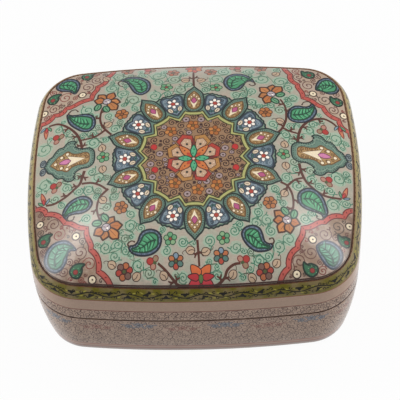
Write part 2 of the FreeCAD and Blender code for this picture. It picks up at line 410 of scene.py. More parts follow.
# ---------------------------------------------------------------- paint colours
GROUND = srgb(170, 168, 150)
HALO = srgb(158, 182, 158)
VINE_GREEN = srgb(54, 116, 90)
BROWN_LINE = srgb(66, 40, 26)
DARK = srgb(38, 38, 34)
STEM = srgb(82, 36, 20)
LEAF_DARK = srgb(10, 60, 40)
LEAF_LIGHT = srgb(72, 150, 104)
BORDER_BLUE = srgb(90, 106, 126)
BORDER_DARK = srgb(22, 26, 38)
TEAL = srgb(100, 128, 112)
TEAL_DARK = srgb(20, 36, 32)
GOLD = srgb(172, 136, 86)
GOLD_DARK = srgb(104, 70, 30)
CREAM = srgb(240, 222, 190)
MAGENTA = srgb(184, 84, 126)
ORANGE = srgb(184, 118, 64)
ORANGE_DARK = srgb(66, 32, 12)
RED = srgb(172, 50, 42)
RED_BAND = srgb(186, 84, 72)
RED_DARK = srgb(112, 26, 22)
PINK_BEIGE = srgb(184, 158, 134)
BUD = srgb(192, 164, 136)
BLUE_FIELD = srgb(84, 104, 116)
BLUE_LINE = srgb(42, 50, 62)
WHITE = srgb(252, 244, 232)
YELLOW = srgb(178, 176, 108)
YELLOW_DARK = srgb(64, 62, 28)
LILAC = srgb(186, 172, 176)
PETAL_BLUE = srgb(124, 144, 160)
SPANDREL = srgb(148, 120, 98)
SPANDREL_BACK = srgb(180, 156, 134)
SPANDREL_LINE = srgb(100, 60, 50)
GREEN_LIGHT = srgb(104, 160, 118)
# The next two colours are the olive band at the front, darkened as painted shade, and on the sides, lightened as
# painted light.
OLIVE_FRONT_PAINTED_SHADE = srgb(98, 90, 18)
OLIVE_SIDE_PAINTED_LIGHT = srgb(166, 150, 98)
OLIVE_LIGHT = srgb(126, 114, 54)
OLIVE_DARK = srgb(14, 13, 6)
BEIGE_BAND = srgb(164, 138, 120)
SIDE_GROUND = srgb(167, 142, 124)
SIDE_LINE = srgb(74, 50, 40)
PINK_LINE = srgb(146, 84, 66)
RED_THIN = srgb(116, 70, 56)


# ---------------------------------------------------------------- motifs
def boteh(art, root, tip, left_curl, width=1.0, border=BORDER_BLUE, line=BORDER_DARK, leaf=LEAF_LIGHT,
          vein=LEAF_DARK, hook=True):
    """A leaf-filled teardrop from its round end at root to its bent tip."""
    length = math.hypot(tip[0] - root[0], tip[1] - root[1])
    turn = math.atan2(tip[1] - root[1], tip[0] - root[0])
    flip = not left_curl
    k = length / 15.0
    t = place(root[0], root[1], turn, k, flip)
    w = width
    back = [(0.0, 0.4), (0.7, -3.2 * w), (3.8, -5.1 * w), (7.6, -4.9 * w), (11.2, -3.5 * w),
            (13.8, -1.4 * w), (15.2, 1.8)]
    fore = [(15.2, 1.8), (13.0, 1.5), (10.8, 1.8), (8.4, 3.6 * w), (5.2, 4.9 * w), (1.8, 3.9 * w), (0.0, 0.4)]
    outer = smooth(back, steps=4)[:-1] + smooth(fore, steps=4)[:-1]
    inner_back = [(1.7, 0.3), (2.2, -2.1 * w), (4.4, -3.5 * w), (7.6, -3.3 * w), (10.4, -2.2 * w), (12.6, -0.4)]
    inner_fore = [(12.6, -0.4), (10.2, 0.2), (7.8, 1.9 * w), (5.0, 3.2 * w), (2.7, 2.5 * w), (1.7, 0.3)]
    inner = smooth(inner_back, steps=4)[:-1] + smooth(inner_fore, steps=4)[:-1]
    outer = [t(*p) for p in outer]
    inner = [t(*p) for p in inner]
    art.outlined(outer, border, line, 0.62)
    for i in range(2, len(outer) - 2, 3):
        a = np.array(outer[i]) * 0.58 + np.array(inner[min(i, len(inner) - 1)]) * 0.42
        art.area(oval(a[0], a[1], 0.26, 0.2, i, 5), line)
    art.outlined(inner, leaf, vein, 0.6)
    mid = smooth([(1.8, 0.4), (4.6, -0.2), (8.0, -0.7), (12.2, -0.5)], steps=4)
    art.stroke([t(*p) for p in mid], 0.55, vein, ends=(1.2, 0.6))
    for u, reach in ((3.3, 2.5), (5.1, 2.9), (6.9, 2.7), (8.6, 2.0), (10.2, 1.3)):
        base = -0.1 - 0.08 * u
        for side in (-1, 1):
            h = reach * w * (0.95 if side < 0 else 0.9)
            far = (u + 1.5, base + side * h)
            if side > 0 and u > 8:
                far = (u + 1.0, base + 0.55 * h)
            art.stroke([t(u, base), t(u + 0.6, base + side * h * 0.5), t(*far)], 0.42, vein, ends=(1.0, 0.5))
    if hook:
        tail = smooth([(15.2, 1.8), (15.5, 4.2), (14.2, 5.7), (12.4, 5.4), (12.3, 4.2)], steps=4)
        art.stroke([t(*p) for p in tail], 0.5, BROWN_LINE, ends=(1.2, 0.7))
        eye = t(12.4, 4.3)
        art.area(oval(eye[0], eye[1], 0.42, 0.42, 0, 7), BROWN_LINE)


def leaf_drop(art, outline, spine, hook, border=BORDER_BLUE, ink=BORDER_DARK, leaf=LEAF_LIGHT, vein=LEAF_DARK):
    """A leaf-filled teardrop drawn round its own outline, with its thin tail curling over."""
    edge = smooth(outline, closed=True, steps=3)
    middle = np.array(smooth(spine, steps=6))
    inner = []
    for x, y in edge:
        gap = middle - (x, y)
        far = np.hypot(gap[:, 0], gap[:, 1])
        k = int(far.argmin())
        share = min(0.62, 1.55 / max(far[k], 1e-6))
        inner.append((x + gap[k, 0] * share, y + gap[k, 1] * share))
    art.outlined(edge, border, ink, 0.85)
    for i in range(len(edge)):
        a, b = np.array(edge[i]), np.array(inner[i])
        art.stroke([tuple(a * 0.62 + b * 0.38), tuple(a * 0.36 + b * 0.64)], 0.26, ink if i % 2 else srgb(128, 142, 156))
    art.outlined(inner, leaf, vein, 0.8)
    line = smooth(spine, steps=4)
    gleam = tuple(min(1.0, 1.5 * v + 0.03) for v in leaf[:3])
    art.stroke(line, 0.7, vein, ends=(1.2, 0.5))
    ring = np.array(inner)
    for k in range(1, len(line) - 1, 2):
        a, b = np.array(line[k - 1]), np.array(line[k])
        way = (b - a) / max(1e-6, np.hypot(*(b - a)))
        for side in (-1, 1):
            out = np.array((-way[1], way[0])) * side * 0.86 + way * 0.5
            reach = 3.6
            for r in np.arange(0.6, 3.7, 0.25):
                q = b + out * r
                if np.hypot(ring[:, 0] - q[0], ring[:, 1] - q[1]).min() < 0.55:
                    reach = r
                    break
            if reach > 0.9:
                c = b + out * reach
                m = b + out * reach * 0.5 - way * 0.15
                lift = way * 0.8
                art.stroke([tuple(m + lift - out * reach * 0.2), tuple(c + lift * 0.8 - out * 0.25)], 0.45, gleam, ends=(1.0, 0.5))
                art.stroke([tuple(b), tuple(m), tuple(c)], 0.6, vein, ends=(1.0, 0.45))
    if hook:
        curve = smooth(hook, steps=4)
        art.stroke(curve, 0.62, BROWN_LINE, ends=(1.4, 0.7))
        art.area(oval(curve[-1][0], curve[-1][1], 0.45, 0.45, 0, 7), BROWN_LINE)


def petals(art, t, count, near, far, width, fills, line, thick=0.42, start=0.0, pointed=False, core=None,
           core_colour=None, gaps=()):
    for k in range(count):
        if k in gaps:
            continue
        w = start + 2 * math.pi * k / count
        c, s = math.cos(w), math.sin(w)
        span = far - near
        if pointed:
            local = [(near, 0.0), (near + 0.3 * span, -0.48 * width), (near + 0.68 * span, -0.46 * width),
                     (far, 0.0), (near + 0.68 * span, 0.46 * width), (near + 0.3 * span, 0.48 * width)]
            edge = []
            edge += smooth(local[:4], steps=3)[:-1]
            edge += smooth(local[3:] + local[:1], steps=3)[:-1]
        else:
            edge = oval(near + span / 2, 0.0, span / 2, width / 2, 0, 11)
        pts = [t(c * u - s * v, s * u + c * v) for u, v in edge]
        art.outlined(pts, fills[k % len(fills)], line, thick)
    if core:
        pts = [t(*p) for p in oval(0, 0, core, core, 0.3, 9)]
        art.outlined(pts, core_colour, line, thick * 0.8)


def bud(art, x, y, turn, size=1.0, colour=BUD, line=BROWN_LINE, tail=True):
    t = place(x, y, turn, size)
    shape = smooth([(-2.0, 0.0), (-1.1, -1.5), (0.7, -1.6), (2.0, -0.1), (0.9, 1.5), (-1.0, 1.6)], closed=True, steps=3)
    art.outlined([t(*p) for p in shape], colour, line, 0.38)
    art.stroke([t(*p) for p in smooth([(-1.9, 0.0), (-0.4, -0.3), (0.9, 0.4)], steps=3)], 0.34, line)
    if tail:
        tip = smooth([(2.0, -0.1), (3.0, 0.4), (3.5, 1.3), (2.9, 1.7)], steps=3)
        art.stroke([t(*p) for p in tip], 0.32, line, ends=(1.0, 0.7))


def thorn(art, x, y, turn, size=1.0):
    t = place(x, y, turn, size)
    art.stroke([t(0, 0), t(1.7, 0.3)], 1.1, STEM, ends=(1.0, 0.9))
    art.stroke([t(1.3, 0.2), t(2.6, 1.3)], 0.95, STEM, ends=(1.0, 0.6))
    art.stroke([t(1.3, 0.2), t(2.7, -0.8)], 0.95, STEM, ends=(1.0, 0.6))


def stem(art, points, width=0.95, thorns=(), ends=(1.0, 0.8)):
    line = smooth(points, steps=5)
    art.stroke(line, width, STEM, ends=ends)
    for share, side in thorns:
        i = min(len(line) - 2, int(share * (len(line) - 1)))
        a, b = line[i], line[i + 1]
        turn = math.atan2(b[1] - a[1], b[0] - a[0])
        thorn(art, a[0], a[1], turn + side * 1.15)


def big_flower(art, x, y, tips, leaves):
    """Pointed orange petals, with two round leaves on the side its stem comes from."""
    for k, (px, py) in enumerate(tips):
        far, turn = math.hypot(px - x, py - y), math.atan2(py - y, px - x)
        t = place(x, y, turn)
        half = [(0.9, 0.0), (2.1, 1.5), (far - 2.3, 2.1), (far - 0.9, 0.95), (far, 0.0)]
        edge = smooth(half, steps=3)
        edge += [(u, -v) for u, v in reversed(edge[1:-1])]
        art.outlined([t(*p) for p in edge], [ORANGE, srgb(186, 112, 58), srgb(200, 130, 72)][k % 3], ORANGE_DARK, 0.8)
        art.stroke([t(2.3, 0.25), t(far - 1.7, 0.0)], 0.34, srgb(132, 72, 34), ends=(1.0, 0.5))
    for px, py in leaves:
        turn = math.atan2(py - y, px - x)
        art.outlined(oval(px, py, 2.15, 1.5, turn + 0.5, 11), GREEN_LIGHT, LEAF_DARK, 0.75)
        t = place(px, py, turn + 0.5)
        art.stroke([t(-1.4, 0), t(1.4, 0.1)], 0.34, LEAF_DARK)
    art.outlined(oval(x, y, 2.0, 1.9, 0, 11), LILAC, DARK, 0.5)
    for a in range(3):
        w = 2.1 * a + 0.4
        art.stroke([(x + 0.2 * math.cos(w), y + 0.2 * math.sin(w)), (x + 1.4 * math.cos(w + 0.3), y + 1.4 * math.sin(w + 0.3))],
                   0.36, srgb(90, 50, 52))
    art.area(oval(x + 0.5, y - 0.4, 0.55, 0.45, 0, 7), WHITE)


def small_flower(art, x, y, size, fills, line, core_colour, count=6, start=0.2):
    petals(art, place(x, y, 0.0, size), count, 0.75, 3.1, 2.5, fills, line, 0.42, start=start, core=0.85,
           core_colour=core_colour)


def trefoil(art, x, y, turn, size=1.0, red=RED):
    t = place(x, y, turn, size)
    for u, v, a, b, colour in ((1.7, 0.0, 1.6, 1.5, red), (-0.2, 1.7, 1.2, 1.35, srgb(176, 128, 108)),
                               (-0.2, -1.7, 1.2, 1.35, srgb(150, 124, 96))):
        art.outlined([t(*p) for p in oval(u, v, a, b, 0, 10)], colour, RED_DARK, 0.42)
    art.area([t(*p) for p in oval(-0.4, 0.0, 0.9, 0.7, 0, 8)], srgb(70, 84, 46))


def side_tulip(art, x, y, turn, size=1.0):
    t = place(x, y, turn, size)
    flame = smooth([(0, 0), (2.0, -1.0), (4.8, -0.6), (7.6, 0.8), (4.6, 1.3), (1.8, 0.9)], closed=True, steps=3)
    art.outlined([t(*p) for p in flame], srgb(198, 118, 84), RED_DARK, 0.42)
    art.outlined([t(*p) for p in smooth([(0.2, 0.2), (1.8, -0.5), (3.8, 0.2), (1.9, 0.9)], closed=True, steps=3)],
                 srgb(190, 60, 60), RED_DARK, 0.32)
    for side, colour in ((-1, PETAL_BLUE), (1, srgb(96, 150, 110))):
        leaf = smooth([(0, side * 0.4), (0.9, side * 2.4), (2.9, side * 3.0), (1.8, side * 1.3)], closed=True, steps=3)
        art.outlined([t(*p) for p in leaf], colour, srgb(52, 60, 48), 0.38)


def scroll(art, x, y, radius, start, turns, flip, line, halo, thick=0.42, extra=True):
    t = place(x, y, 0.0, 1.0, flip)
    spiral = curl(radius, turns, start, steps=8 if radius < 1.7 else 12)
    pts = [t(*p) for p in spiral]
    if halo:
        art.stroke(pts, thick * 3.6, halo)
    art.stroke(pts, thick, line, ends=(1.15, 0.85))
    art.area(oval(*t(*spiral[0]), thick * 0.8, thick * 0.7, 0, 6), line)
    if extra:
        a, b = spiral[-1], spiral[-2]
        way = math.atan2(a[1] - b[1], a[0] - b[0])
        for swing, reach in ((0.9, 1.3), (-0.5, 1.6)):
            w = way + swing
            c = (a[0] + reach * math.cos(w), a[1] + reach * math.sin(w))
            art.stroke([t(*a), t((a[0] + c[0]) / 2 + 0.2, (a[1] + c[1]) / 2), t(*c)], thick, line, ends=(1.0, 1.4))


def side_cartouche(art, sx):
    """The lobed panel half way along each short side."""
    squeeze = 1.0 if sx > 0 else 0.92

    def t(u, v):
        return (sx * (44.2 + (u - 44.2) * squeeze), v + (3.5 if sx > 0 else 3.1))
    outer = smooth([(44.2, 0), (44.7, 3.4), (47.2, 5.4), (50.8, 5.5), (53.6, 7.0), (54.6, 9.2), (53.6, 10.0)], steps=3)[:-1]
    outer += smooth([(53.6, 10.0), (55.6, 11.2), (58.2, 10.6), (60.2, 8.6), (62.4, 8.4), (64.4, 6.6), (65.6, 4.8),
                     (67.6, 3.8), (68.8, 1.6), (69.8, 0)], steps=3)
    outline = outer + [(u, -v) for u, v in reversed(outer[1:-1])]
    art.outlined([t(*p) for p in outline], TEAL, TEAL_DARK, 0.7)
    inner = smooth([(46.7, 0), (47.2, 2.1), (49.2, 3.2), (52.6, 3.0), (55.6, 3.8), (57.4, 5.4), (58.8, 5.3), (60.6, 4.2),
                    (62.4, 3.8), (64.4, 2.0), (66.6, 0)], steps=3)
    outline = inner + [(u, -v) for u, v in reversed(inner[1:-1])]
    art.outlined([t(*p) for p in outline], GOLD, GOLD_DARK, 0.55)
    for u, v in ((46.2, 3.6), (49.0, 4.4), (52.2, 4.6), (55.2, 7.2), (57.2, 9.2), (60.0, 7.4), (63.2, 6.0), (66.2, 3.0)):
        for side in (-1, 1):
            art.area([t(*p) for p in oval(u, v * side, 0.34, 0.24, u, 6)], TEAL_DARK)
    for shrink, colour, thick in ((0.9, srgb(52, 78, 70), 0.34), (0.8, srgb(138, 160, 140), 0.3)):
        ring = [(58.0 + (u - 58.0) * (shrink + 0.04), v * shrink) for u, v in outer]
        ring += [(u, -v) for u, v in reversed(ring[1:-1])]
        if thick > 0.32:
            beads(art, [t(*p) for p in ring], 1.1, 0.34, TEAL_DARK)
            inner_ring = [(57.4 + (u - 57.4) * 0.9, v * 0.82) for u, v in ring]
            beads(art, [t(*p) for p in inner_ring], 1.5, 0.42, srgb(58, 92, 80))
        else:
            art.stroke([t(*p) for p in ring], thick, colour, closed=True)
    rng = random.Random(5)
    for u, v in ((48.2, 0.4), (49.2, 1.9), (49.3, -1.8), (51.2, 2.3), (51.3, -2.3), (53.2, 2.6), (53.3, -2.5),
                 (55.4, 2.6), (55.2, -2.6), (60.2, 2.6), (60.4, -2.6), (62.8, 1.7), (62.8, -1.7)):
        pts = curl(0.95, 1.2, rng.uniform(0, 6.28), 0.25, 7)
        art.stroke([t(u + a, v + b) for a, b in pts], 0.42, GOLD_DARK)
    flame = [(48.8, 0), (52.6, 1.3), (58.4, 3.2), (57.2, 1.4), (56.8, 0), (57.2, -1.4), (58.4, -3.2), (52.6, -1.3)]
    art.outlined([t(*p) for p in flame], CREAM, GOLD_DARK, 0.28)
    gem = smooth([(56.2, 0), (58.7, 1.45), (62.2, 0), (58.7, -1.45)], closed=True, steps=3)
    art.outlined([t(*p) for p in gem], srgb(206, 124, 164), srgb(110, 48, 78), 0.42)
    for u, v in ((58.0, 4.1), (60.9, 2.9), (58.0, -4.1), (60.9, -2.9), (64.0, 0.0)):
        art.outlined([t(*p) for p in oval(u, v, 0.98, 0.92, 0, 9)], CREAM, GOLD_DARK, 0.36)
    for side in (-1, 1):
        art.outlined([t(*p) for p in oval(70.4, side * 2.3, 1.5, 1.9, 0, 10)], srgb(122, 132, 132), srgb(48, 58, 66), 0.6)
        pts = [t(70.4 + a, side * 2.3 + b * side) for a, b in curl(1.0, 1.2, 2.0 + side, 0.2, 8)]
        art.stroke(pts, 0.5, srgb(48, 58, 66))


def on_medallion(r, degrees, v=0.0):
    """A point of the medallion: its rings drift a little, as painted by hand."""
    c, s = math.cos(math.radians(degrees)), math.sin(math.radians(degrees))
    drift = min(1.0, math.hypot(r, v) / 42.0)
    return (0.45 + 0.25 * drift + 0.965 * (r * c - v * s), -1.95 + 2.1 * drift + r * s + v * c)


def beads(art, points, step, size, colour):
    """Small dabs at an even step along a line."""
    line = np.array(points)
    run = np.concatenate([[0], np.cumsum(np.hypot(*np.diff(line, axis=0).T))])
    for d in np.arange(step / 2, run[-1], step):
        x, y = np.interp(d, run, line[:, 0]), np.interp(d, run, line[:, 1])
        art.area(oval(x, y, size, size * 0.72, d, 5), colour)


def medallion(art):
    rng = random.Random(17)
    at = on_medallion

    def sector(degrees, wide=1.0):
        return lambda r, v: at(r, degrees, v * wide)

    half = [(0, 42.4), (1.3, 41.0), (2.8, 39.9), (4.4, 39.0), (5.6, 37.9), (6.6, 37.0), (8.2, 37.0), (9.8, 37.7),
            (11.4, 37.5), (13.2, 38.1), (15.0, 37.7), (16.6, 37.9), (18, 37.5)]
    edge = []
    for k in range(10):
        for a, r in [(-a, r) for a, r in reversed(half[1:])] + half[:-1]:
            edge.append(at(r, 18 + 36 * k + a))
    art.outlined(edge, TEAL, TEAL_DARK, 0.8)
    middle = on_medallion(0, 0)
    trim = [(middle[0] + (x - middle[0]) * 0.974, middle[1] + (y - middle[1]) * 0.974) for x, y in edge]
    art.stroke(trim, 0.36, srgb(140, 156, 132), closed=True)
    beads(art, [(middle[0] + (x - middle[0]) * 0.95, middle[1] + (y - middle[1]) * 0.95) for x, y in edge], 1.3, 0.36,
          TEAL_DARK)

    for k in range(10):
        wide = 1.22 if k in (0, 5) else 1.0
        t = sector(36 * k, wide)
        side = smooth([(24.6, 0.0), (26.4, 2.0), (28.2, 3.6), (31.0, 4.5), (33.8, 5.1), (36.0, 5.0), (36.7, 3.6),
                       (36.7, 1.8), (35.8, 0.0)], steps=2)
        shape = side + [(r, -v) for r, v in reversed(side[1:-1])]
        art.outlined([t(*p) for p in shape], BLUE_FIELD, BLUE_LINE, 0.85)
        trim = [(31.6 + (r - 31.6) * 0.83, v * 0.78) for r, v in shape]
        art.stroke([t(*p) for p in trim], 0.32, srgb(128, 146, 156), closed=True)
        for r, v in ((34.9, 2.9), (34.9, -2.9), (32.2, 3.3), (32.2, -3.3), (29.8, 2.9), (29.8, -2.9), (35.0, 0.8),
                     (28.9, 0.0), (26.9, 0.8), (26.9, -0.8), (35.2, -1.3)):
            pts = curl(0.95, 1.1, rng.uniform(0, 6.28), 0.25, 6)
            art.stroke([t(r + a, v + b) for a, b in pts], 0.4, srgb(140, 152, 160) if rng.random() < 0.55 else BLUE_LINE)
        for v in (-0.8, 0.8):
            leaf = [(26.2, 0.0), (27.0, v * 1.4), (28.2, v * 1.3), (27.4, v * 0.2)]
            art.outlined([t(*p) for p in leaf], srgb(58, 104, 96), BLUE_LINE, 0.3)
        for v in (-2.3, 2.3):
            leaf = oval(28.5, v, 1.6, 1.15, 0.45 if v > 0 else -0.45, 9)
            art.outlined([at(r, 36 * k, w) for r, w in leaf], srgb(224, 206, 178), srgb(60, 48, 44), 0.36)
            art.stroke([at(27.5, 36 * k, v * 0.86), at(29.3, 36 * k, v * 1.12)], 0.3, srgb(110, 80, 60))
        turn = rng.uniform(0, 1.2)
        for j in range(6 if k % 3 else 5):
            w = 2 * math.pi * j / (6 if k % 3 else 5) + turn
            p = oval(32.2 + 1.9 * math.cos(w), 1.9 * math.sin(w), 1.15, 0.95, w, 8)
            art.outlined([at(q[0], 36 * k, q[1]) for q in p], WHITE, srgb(62, 44, 48), 0.34)
        art.outlined([at(q[0], 36 * k, q[1]) for q in oval(32.2, 0, 1.1, 1.1, 0, 8)], srgb(176, 66, 50),
                     srgb(96, 34, 28), 0.28)

    for k in range(10):
        t = sector(18 + 36 * k)
        side = smooth([(25.7, 0.0), (26.2, 2.1), (27.9, 3.9), (30.4, 4.6), (33.2, 4.7), (35.4, 4.4), (37.1, 4.1)],
                      steps=2)[:-1]
        side += smooth([(37.1, 4.1), (38.5, 3.3), (40.0, 1.7), (42.0, 0.0)], steps=2)
        shape = side + [(r, -v) for r, v in reversed(side[1:-1])]
        art.outlined([t(*p) for p in shape], TEAL, TEAL_DARK, 0.75)
        path = smooth([(26.5, 0.0), (27.0, 1.9), (28.6, 3.35), (31.0, 3.85), (33.5, 3.9), (35.4, 3.5), (37.2, 2.8),
                       (38.8, 1.7), (40.5, 0.0)], steps=3)
        beads(art, [t(*p) for p in path + [(r, -v) for r, v in reversed(path[:-1])]], 1.0, 0.33, TEAL_DARK)
        side = smooth([(27.3, 0.0), (27.7, 1.4), (29.3, 2.7), (31.6, 3.1), (33.8, 3.0), (35.6, 2.5), (37.3, 1.5),
                       (39.0, 0.0)], steps=2)
        shape = side + [(r, -v) for r, v in reversed(side[1:-1])]
        art.outlined([t(*p) for p in shape], GOLD, GOLD_DARK, 0.7)
        for r, v in ((28.8, 1.5), (28.8, -1.5), (30.4, 2.1), (30.4, -2.1), (32.0, 2.4), (32.0, -2.4), (36.8, 0.9),
                     (36.8, -0.9), (29.8, 0.9), (29.8, -0.9)):
            pts = curl(0.62, 1.0, rng.uniform(0, 6.28), 0.3, 6)
            art.stroke([t(r + a, v + b) for a, b in pts], 0.3, GOLD_DARK)
        flame = [(27.9, 0.0), (29.8, 0.75), (32.4, 1.75), (31.9, 0.7), (31.0, 0.0), (31.9, -0.7), (32.4, -1.75),
                 (29.8, -0.75)]
        art.area([t(*p) for p in flame], CREAM)
        gem = [(30.7, 0), (32.0, 1.1), (33.0, 1.25), (34.5, 0.3), (34.7, 0), (34.5, -0.3), (33.0, -1.25), (32.0, -1.1)]
        art.outlined([t(*p) for p in gem], MAGENTA, srgb(98, 34, 60), 0.36)
        for r, v, size in ((33.7, 2.3, 0.78), (33.7, -2.3, 0.78), (35.1, 1.2, 0.6), (35.1, -1.2, 0.6), (36.3, 0.0, 0.72)):
            art.outlined([t(*p) for p in oval(r, v, size, size * 0.92, 0, 8)], CREAM, GOLD_DARK, 0.3)

    def scallop(grow):
        pts = []
        for j in range(10):
            for a, r in ((0, 22.5), (2.6, 23.3), (5.2, 24.3), (7.6, 25.6), (9.2, 26.2), (11.2, 25.6), (14.4, 25.3),
                         (18, 25.2), (21.6, 25.3), (24.8, 25.6), (26.8, 26.2), (28.4, 25.6), (30.8, 24.3), (33.4, 23.3)):
                pts.append(at(r + grow, 36 * j + a))
        return pts

    art.outlined(scallop(0.35), YELLOW, YELLOW_DARK, 0.7)
    art.outlined(scallop(-1.5), srgb(152, 118, 86), YELLOW_DARK, 0.6)
    spots = [(0.2, 16.8, 2.9, "orange"), (9.9, 13.6, 2.7, "orange"), (-9.7, 13.6, 2.7, "orange"),
             (2.2, -18.4, 2.9, "orange"), (10.7, -16.0, 2.8, "orange"), (-8.0, -14.9, 2.8, "orange"),
             (19.0, 4.3, 1.9, "red"), (-17.4, 5.0, 1.9, "red"), (19.3, -7.0, 1.9, "red"), (-16.9, -7.4, 1.9, "red")]
    placed = list(spots)
    for size in (2.0, 1.65, 1.35, 1.1, 0.85, 0.65):
        for _ in range(2400):
            w, r = rng.uniform(0, 360), math.sqrt(rng.uniform(10.5 ** 2, 24.2 ** 2))
            x, y = at(r, w)
            low = 12.6 if abs(math.cos(math.radians(w))) > 0.6 else 13.4
            phase = min((w % 36), 36 - (w % 36))
            top = 21.2 + 3.0 * min(1.0, phase / 9.0)
            if r + size > top or r - size < low - 1.2:
                continue
            if all(math.hypot(x - a, y - b) > (size + c) * 0.94 for a, b, c, _ in placed):
                placed.append((x, y, size, rng.choice(("curl", "curl", "grey"))))
    ink = srgb(58, 28, 22)
    for x, y, size, kind in placed:
        if kind == "curl":
            scroll(art, x, y, size, rng.uniform(0, 6.28), 1.5, rng.random() < 0.5, ink, None, 0.5, extra=False)
        elif kind == "grey":
            art.outlined(oval(x, y, size * 0.84, size * 0.8, 0, 8), srgb(164, 142, 140), ink, 0.38)
            art.area(oval(x, y, size * 0.3, size * 0.24, 0, 6), ink)
        elif kind == "orange":
            petals(art, place(x, y, 0.0, 1.0), 5, 0.5, 2.9, 2.3, [srgb(190, 116, 54), srgb(172, 100, 44), srgb(198, 128, 62)],
                   srgb(96, 54, 22), 0.42, start=rng.uniform(0, 1), core=0.8, core_colour=srgb(120, 88, 36))
        else:
            art.outlined(oval(x, y, 1.5, 1.7, 0, 10), srgb(190, 44, 40), RED_DARK, 0.34)
            art.outlined(oval(x - 1.0, y - 1.6, 0.8, 0.7, 0, 8), srgb(120, 84, 60), ink, 0.3)

    for k in range(8):
        deg = 22.5 + 45 * k
        tall = 1.0 + 0.07 * abs(math.sin(math.radians(deg)))
        t = sector(deg)
        band_colour, dark = (srgb(178, 60, 46), srgb(92, 24, 20)) if k % 2 == 0 else (srgb(180, 128, 66), srgb(92, 54, 24))
        house = [(13.0, 0.0), (10.6, 4.1), (7.4, 2.9), (3.6, 0.7), (3.6, -0.7), (7.4, -2.9), (10.6, -4.1)]
        inner = [(10.9, 0.0), (9.3, 2.7), (7.2, 2.2), (3.8, 0.5), (3.8, -0.5), (7.2, -2.2), (9.3, -2.7)]
        art.outlined([t(r * tall, v) for r, v in house], band_colour, dark, 0.5)
        art.outlined([t(r * tall, v) for r, v in inner], srgb(196, 160, 130), dark, 0.38)
        art.outlined([t(*p) for p in oval(8.2, 0, 0.62, 0.55, 0, 7)], srgb(46, 44, 38), srgb(96, 80, 60), 0.2)
        for r, v in ((9.6, 0.9), (9.6, -0.9), (7.0, 1.1), (7.0, -1.1)):
            art.area([t(*p) for p in oval(r, v, 0.3, 0.26, 0, 6)], srgb(226, 204, 174))
        for v in (-1, 1):
            art.area([t(*p) for p in oval(11.2, 1.6 * v, 0.26, 0.2, 0, 5)], dark)
    for k in range(4):
        t = sector(90 * k)
        sliver = [(6.4, 0), (8.4, 0.75), (11.0, 0.0), (8.4, -0.75)]
        art.outlined([t(*p) for p in sliver], srgb(110, 46, 38), srgb(70, 24, 20), 0.3)
        t = sector(45 + 90 * k)
        leaf = smooth([(1.2, 0), (3.2, -1.5), (5.8, -1.75), (9.6, 0), (5.8, 1.75), (3.2, 1.5)], closed=True, steps=3)
        art.outlined([t(*p) for p in leaf], srgb(204, 116, 58), srgb(92, 36, 18), 0.5)
        heart = smooth([(1.4, 0), (2.8, -1.0), (4.6, 0), (2.8, 1.0)], closed=True, steps=2)
        art.area([t(*p) for p in heart], srgb(186, 66, 40))
        art.area([t(*p) for p in oval(5.9, 0.0, 0.42, 0.36, 0, 7)], srgb(70, 26, 18))
        art.area([t(*p) for p in oval(7.6, 0.0, 0.26, 0.22, 0, 6)], srgb(70, 26, 18))
    for k in range(4):
        t = sector(90 * k)
        leaf = smooth([(0.8, 0), (2.8, -1.3), (4.8, -1.35), (7.2, 0), (4.8, 1.35), (2.8, 1.3)], closed=True, steps=3)
        art.outlined([t(*p) for p in leaf], srgb(84, 170, 124), srgb(16, 64, 44), 0.5)
        art.area([t(*p) for p in oval(2.8, 0.3, 0.4, 0.32, 0, 6)], srgb(16, 64, 44))
        art.area([t(*p) for p in oval(4.9, -0.2, 0.4, 0.32, 0, 6)], srgb(16, 64, 44))
    art.outlined(oval(*at(0, 0), 0.8, 0.8, 0, 8), srgb(232, 190, 168), srgb(86, 30, 20), 0.4)


corner_bands = {
    (-1, -1): [(-74.5, -17.4), (-71.4, -18.6), (-65.9, -22.4), (-57.0, -29.2), (-47.2, -33.6), (-45.2, -43.6),
               (-41.8, -53.2), (-35.8, -63.0)],
    (1, -1): [(75.0, -21.0), (72.6, -22.6), (66.8, -27.0), (57.8, -31.4), (48.2, -35.6), (45.6, -44.8),
              (41.4, -53.4), (37.4, -63.0)],
    (-1, 1): [(-74.5, 25.0), (-71.0, 29.2), (-64.0, 32.4), (-58.6, 35.0), (-46.6, 38.4), (-44.2, 46.6),
              (-40.2, 53.6), (-37.4, 64.0)],
    (1, 1): [(75.5, 16.0), (71.6, 20.4), (66.6, 26.4), (59.6, 32.4), (50.6, 36.6), (48.4, 45.4),
             (45.2, 53.0), (43.0, 64.0)],
}
corner_dots = {
    (-1, -1): [(-68.6, -27.0), (-51.9, -36.6), (-44.6, -56.4)],
    (1, -1): [(68.9, -31.4), (52.2, -40.5), (44.8, -56.0)],
    (-1, 1): [(-51.2, 42.2), (-69.0, 35.0)],
    (1, 1): [(55.3, 40.1), (69.1, 29.5)],
}
